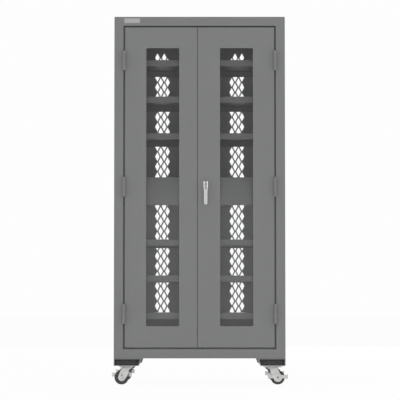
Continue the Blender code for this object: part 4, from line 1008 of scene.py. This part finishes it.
def add_dark_block(corner, out, swivel):
    """A block of black plastic: a slanted outline carried across under the edge of the fork's crown."""
    crown, half = node_box(f"fork_{corner}")[1][2] - 0.0040, 0.0105
    corners = np.array([(0.0120, -0.0185), (0.0185, -0.0185), (0.0345, 0.0001), (0.0215, 0.0001),
                        (0.0120, -0.0115)]) + (0.0, crown)
    outline = round_corners(corners, (0.0015, 0.003, 0.0008, 0.0008, 0.004), steps=5)
    outline = outline * (-out, 1.0) + (swivel[0], 0.0)
    block = slab(outline, swivel[1] - half, swivel[1] + half, edge=0.0008)
    add_piece(f"stop_block_{corner}", [block], "plastic", body=f"fork_{corner}")


def add_brake(corner, out, axle):
    """Brake lever: a hub plate with an arm each way and its ends turned out as foot pads."""
    node = f"brake_lever_{corner}"
    low, high = node_box(node)
    reach, arm, pad, hub, turn = (high[0] - low[0]) / 2.0, 0.0090, 0.0115, 0.0235, 0.0105
    rise = 0.0140 if out < 0.0 else 0.0045
    up, down, end, root = rise + arm, rise - arm, reach - 0.006, reach - 0.017
    above, below = [math.degrees(math.asin(level / hub)) for level in (up, down)]
    starts = [hub * math.cos(math.radians(angle)) for angle in (above, below)]
    right = [(starts[0], up), (root, up), (end, rise + pad), (end, rise - pad), (root, down),
             (starts[1], down)]
    arm_right = bent(right, (0.010, 0.001, 0.001, 0.010), steps=5)
    head = arc((0.0, 0.0), hub, 180.0 - above, above, 12)[1:-1]
    base = arc((0.0, 0.0), hub, below, -180.0 - below, 24)[1:-1]
    outline = np.concatenate([head, arm_right, base, (arm_right * (-1.0, 1.0))[::-1]])
    parts = [slab(without_repeats(outline) + axle[[0, 2]], low[1], high[1], edge=0.0005)]
    sheet = high[1] - low[1] - 0.0002
    inner = high[1] - 0.0001 if out > 0.0 else low[1] + 0.0001
    for sign in (-1.0, 1.0):
        edge = axle[0] + sign * reach
        line = [(axle[0] + sign * (end - 0.005), inner), (edge, inner), (edge, inner - out * turn)]
        line = bent(line, 0.0045, steps=6)
        parts.append(slab(sheet_outline(line, -sheet * sign * out), axle[2] + rise - pad + 0.0004,
                          axle[2] + rise + pad - 0.0004, edge=0.0004, plane="XY"))
    add_piece(f"brake_{corner}", parts, "zinc", node, body=node, sharp=38.0)


class CABINET_OT_casters(Operator):
    """Build the four swivel casters with their brake levers"""

    bl_idname = "cabinet.casters"
    bl_label = "Build Casters"

    def execute(self, context):
        sizes = context.scene.cabinet_sizes
        for side, row in CORNERS:
            corner, out = f"{side}_{row}", SIDES[side]
            swivel, axle = PIVOTS[f"swivel_{corner}"], PIVOTS[f"wheel_spin_{corner}"]
            add_top(corner, swivel, sizes)
            add_fork(corner, out, swivel, axle, sizes)
            add_wheel(corner, axle, sizes)
            add_dark_block(corner, out, swivel)
            add_brake(corner, out, axle)
        return {"FINISHED"}


class CABINET_OT_plate(Operator):
    """Build the bare plate on the header"""

    bl_idname = "cabinet.plate"
    bl_label = "Build Header Plate"

    def execute(self, context):
        low, high, corner, proud = (-0.404, 1.9355), (-0.320, 1.9606), 0.0022, 0.0010
        bare = plate(low, high, corner, 5, FRONT - proud, FRONT, edge=0.0004)
        add_piece("bare_plate", [bare], "plate")
        return {"FINISHED"}


def add_floor(context):
    """A pale floor that keeps the cabinet's shadow and is white where nothing shades it."""
    far, pale, matt, seen_glow, soft_glow = 40.0, 0.86, 0.9, 0.555, 0.40
    corners = np.array([[(-far, -far), (far, -far)], [(-far, far), (far, far)]])
    mesh = loft(in_space(corners, 0.0, "XY"), closed=False, caps=False)
    floor = bpy.data.objects.new("pale_floor", mesh)
    context.scene.collection.objects.link(floor)
    material, tree, shader = new_material("pale_floor", (pale, pale, pale), matt)
    glow = add_node(tree, "Emission", {"Color": (1.0, 1.0, 1.0, 1.0)}).outputs["Emission"]
    share = calculate(tree, "MULTIPLY_ADD", seen_directly(tree), seen_glow, soft_glow)
    mix_shaders(tree, share, shader.outputs["BSDF"], glow, "Material Output")
    mesh.materials.append(material)


def set_world(context):
    """White where the camera and gloss look past the cabinet, and a soft even light elsewhere."""
    world = bpy.data.worlds.new("studio")
    context.scene.world = world
    world.use_nodes = True
    tree = world.node_tree
    ambient = tree.nodes["Background"]
    ambient.inputs["Color"].default_value = (1.0, 1.0, 1.0, 1.0)
    ambient.inputs["Strength"].default_value = 0.34
    white = add_node(tree, "Background", {"Color": (0.985, 0.985, 0.985, 1.0), "Strength": 1.0})
    mix_shaders(tree, seen_directly(tree), ambient.outputs["Background"],
                white.outputs["Background"], "World Output")


def seen_directly(tree):
    """One for what the camera sees itself or in gloss or glass, and zero for soft light."""
    path = add_node(tree, "LightPath", {})
    seen = path.outputs["Is Camera Ray"]
    for ray in ("Is Glossy Ray", "Is Transmission Ray"):
        seen = calculate(tree, "MAXIMUM", seen, path.outputs[ray])
    return seen


def mix_shaders(tree, share, first, second, output):
    """Two shaders mixed by a share of the second, joined to the tree's output."""
    mixed = add_node(tree, "MixShader", {"Fac": share, 1: first, 2: second}).outputs["Shader"]
    tree.links.new(mixed, tree.nodes[output].inputs["Surface"])


def add_lamps(context):
    """A level soft lamp in front, a small one low, and large ones at the sides, above and behind."""
    lamps = (
        ("front_lamp", (0.0, -9.0, 0.8), (0.0, 0.0, 1.0), 2.4, 121.0, False),
        ("low_lamp", (0.0, -4.0, 0.25), (0.0, 0.0, 0.9), 1.6, 15.0, False),
        ("left_lamp", (-7.0, -2.4, 2.0), (0.0, 0.0, 1.0), 6.0, 88.0, True),
        ("right_lamp", (7.0, -2.4, 2.0), (0.0, 0.0, 1.0), 6.0, 88.0, True),
        ("top_lamp", (0.0, -1.0, 7.0), (0.0, -0.5, 0.0), 6.0, 160.0, True),
        ("back_lamp", (1.5, 7.5, 3.0), (0.0, 0.0, 1.0), 5.0, 150.0, True),
    )
    for name, place, target, size, power, in_gloss in lamps:
        data = bpy.data.lights.new(name, "AREA")
        data.shape = "DISK"
        data.size = size
        data.energy = power
        lamp = bpy.data.objects.new(name, data)
        lamp.visible_glossy = in_gloss
        context.scene.collection.objects.link(lamp)
        aim = np.array(target) - np.array(place)
        heading = math.atan2(aim[0], -aim[1])
        tilt = math.atan2(math.hypot(aim[0], aim[1]), -aim[2])
        lamp.location = place
        lamp.rotation_euler = (tilt, 0.0, heading + math.pi)


def add_camera(context):
    """The photograph's view: square on, low, about ten metres away and tipped slightly up."""
    data = bpy.data.cameras.new("view")
    data.lens = 174.6
    data.sensor_width = 36.0
    data.clip_end = 120.0
    camera = bpy.data.objects.new("view", data)
    camera.location = (0.002, FRONT - 10.35, 0.4533)
    camera.rotation_euler = (math.radians(92.940), 0.0, 0.0)
    context.scene.collection.objects.link(camera)
    context.scene.camera = camera


class CABINET_OT_stage(Operator):
    """Build the pale floor, the soft lights and the camera"""

    bl_idname = "cabinet.stage"
    bl_label = "Build Stage"

    def execute(self, context):
        add_floor(context)
        set_world(context)
        add_lamps(context)
        add_camera(context)
        context.scene.view_settings.view_transform = "Standard"
        return {"FINISHED"}


class CABINET_PT_panel(Panel):
    """Lists the cabinet's sizes, finishes and building steps"""

    bl_idname = "CABINET_PT_panel"
    bl_label = "Charging Cabinet"
    bl_space_type = "VIEW_3D"
    bl_region_type = "UI"
    bl_category = "Cabinet"

    def draw(self, context):
        layout = self.layout
        for group in (context.scene.cabinet_sizes, context.scene.cabinet_finishes):
            column = layout.column(align=True)
            for name in group.__annotations__:
                column.prop(group, name)
        for operator in BUILD_ORDER:
            layout.operator(operator.bl_idname)


BUILD_ORDER = (
    CABINET_OT_stage,
    CABINET_OT_shell,
    CABINET_OT_shelves,
    CABINET_OT_power,
    CABINET_OT_doors,
    CABINET_OT_hinges,
    CABINET_OT_lever,
    CABINET_OT_risers,
    CABINET_OT_casters,
    CABINET_OT_plate,
)
CLASSES = (CabinetSizes, CabinetFinishes, *BUILD_ORDER, CABINET_PT_panel)


def register():
    """Register the classes and hang the property groups on the scene."""
    for item in CLASSES:
        bpy.utils.register_class(item)
    bpy.types.Scene.cabinet_sizes = PointerProperty(type=CabinetSizes)
    bpy.types.Scene.cabinet_finishes = PointerProperty(type=CabinetFinishes)


def unregister():
    """Take the property groups and the classes away again."""
    del bpy.types.Scene.cabinet_finishes
    del bpy.types.Scene.cabinet_sizes
    for item in reversed(CLASSES):
        bpy.utils.unregister_class(item)


def main():
    """Build every group in order."""
    register()
    # Blender's own startup objects aren't part of the cabinet.
    for name in [item.name for item in bpy.data.objects if item.name in ("Cube", "Light", "Camera")]:
        bpy.data.objects.remove(bpy.data.objects[name])
    bpy.ops.cabinet.stage()
    bpy.ops.cabinet.shell()
    bpy.ops.cabinet.shelves()
    bpy.ops.cabinet.power()
    bpy.ops.cabinet.doors()
    bpy.ops.cabinet.hinges()
    bpy.ops.cabinet.lever()
    bpy.ops.cabinet.risers()
    bpy.ops.cabinet.casters()
    bpy.ops.cabinet.plate()


if __name__ == "__main__":
    main()
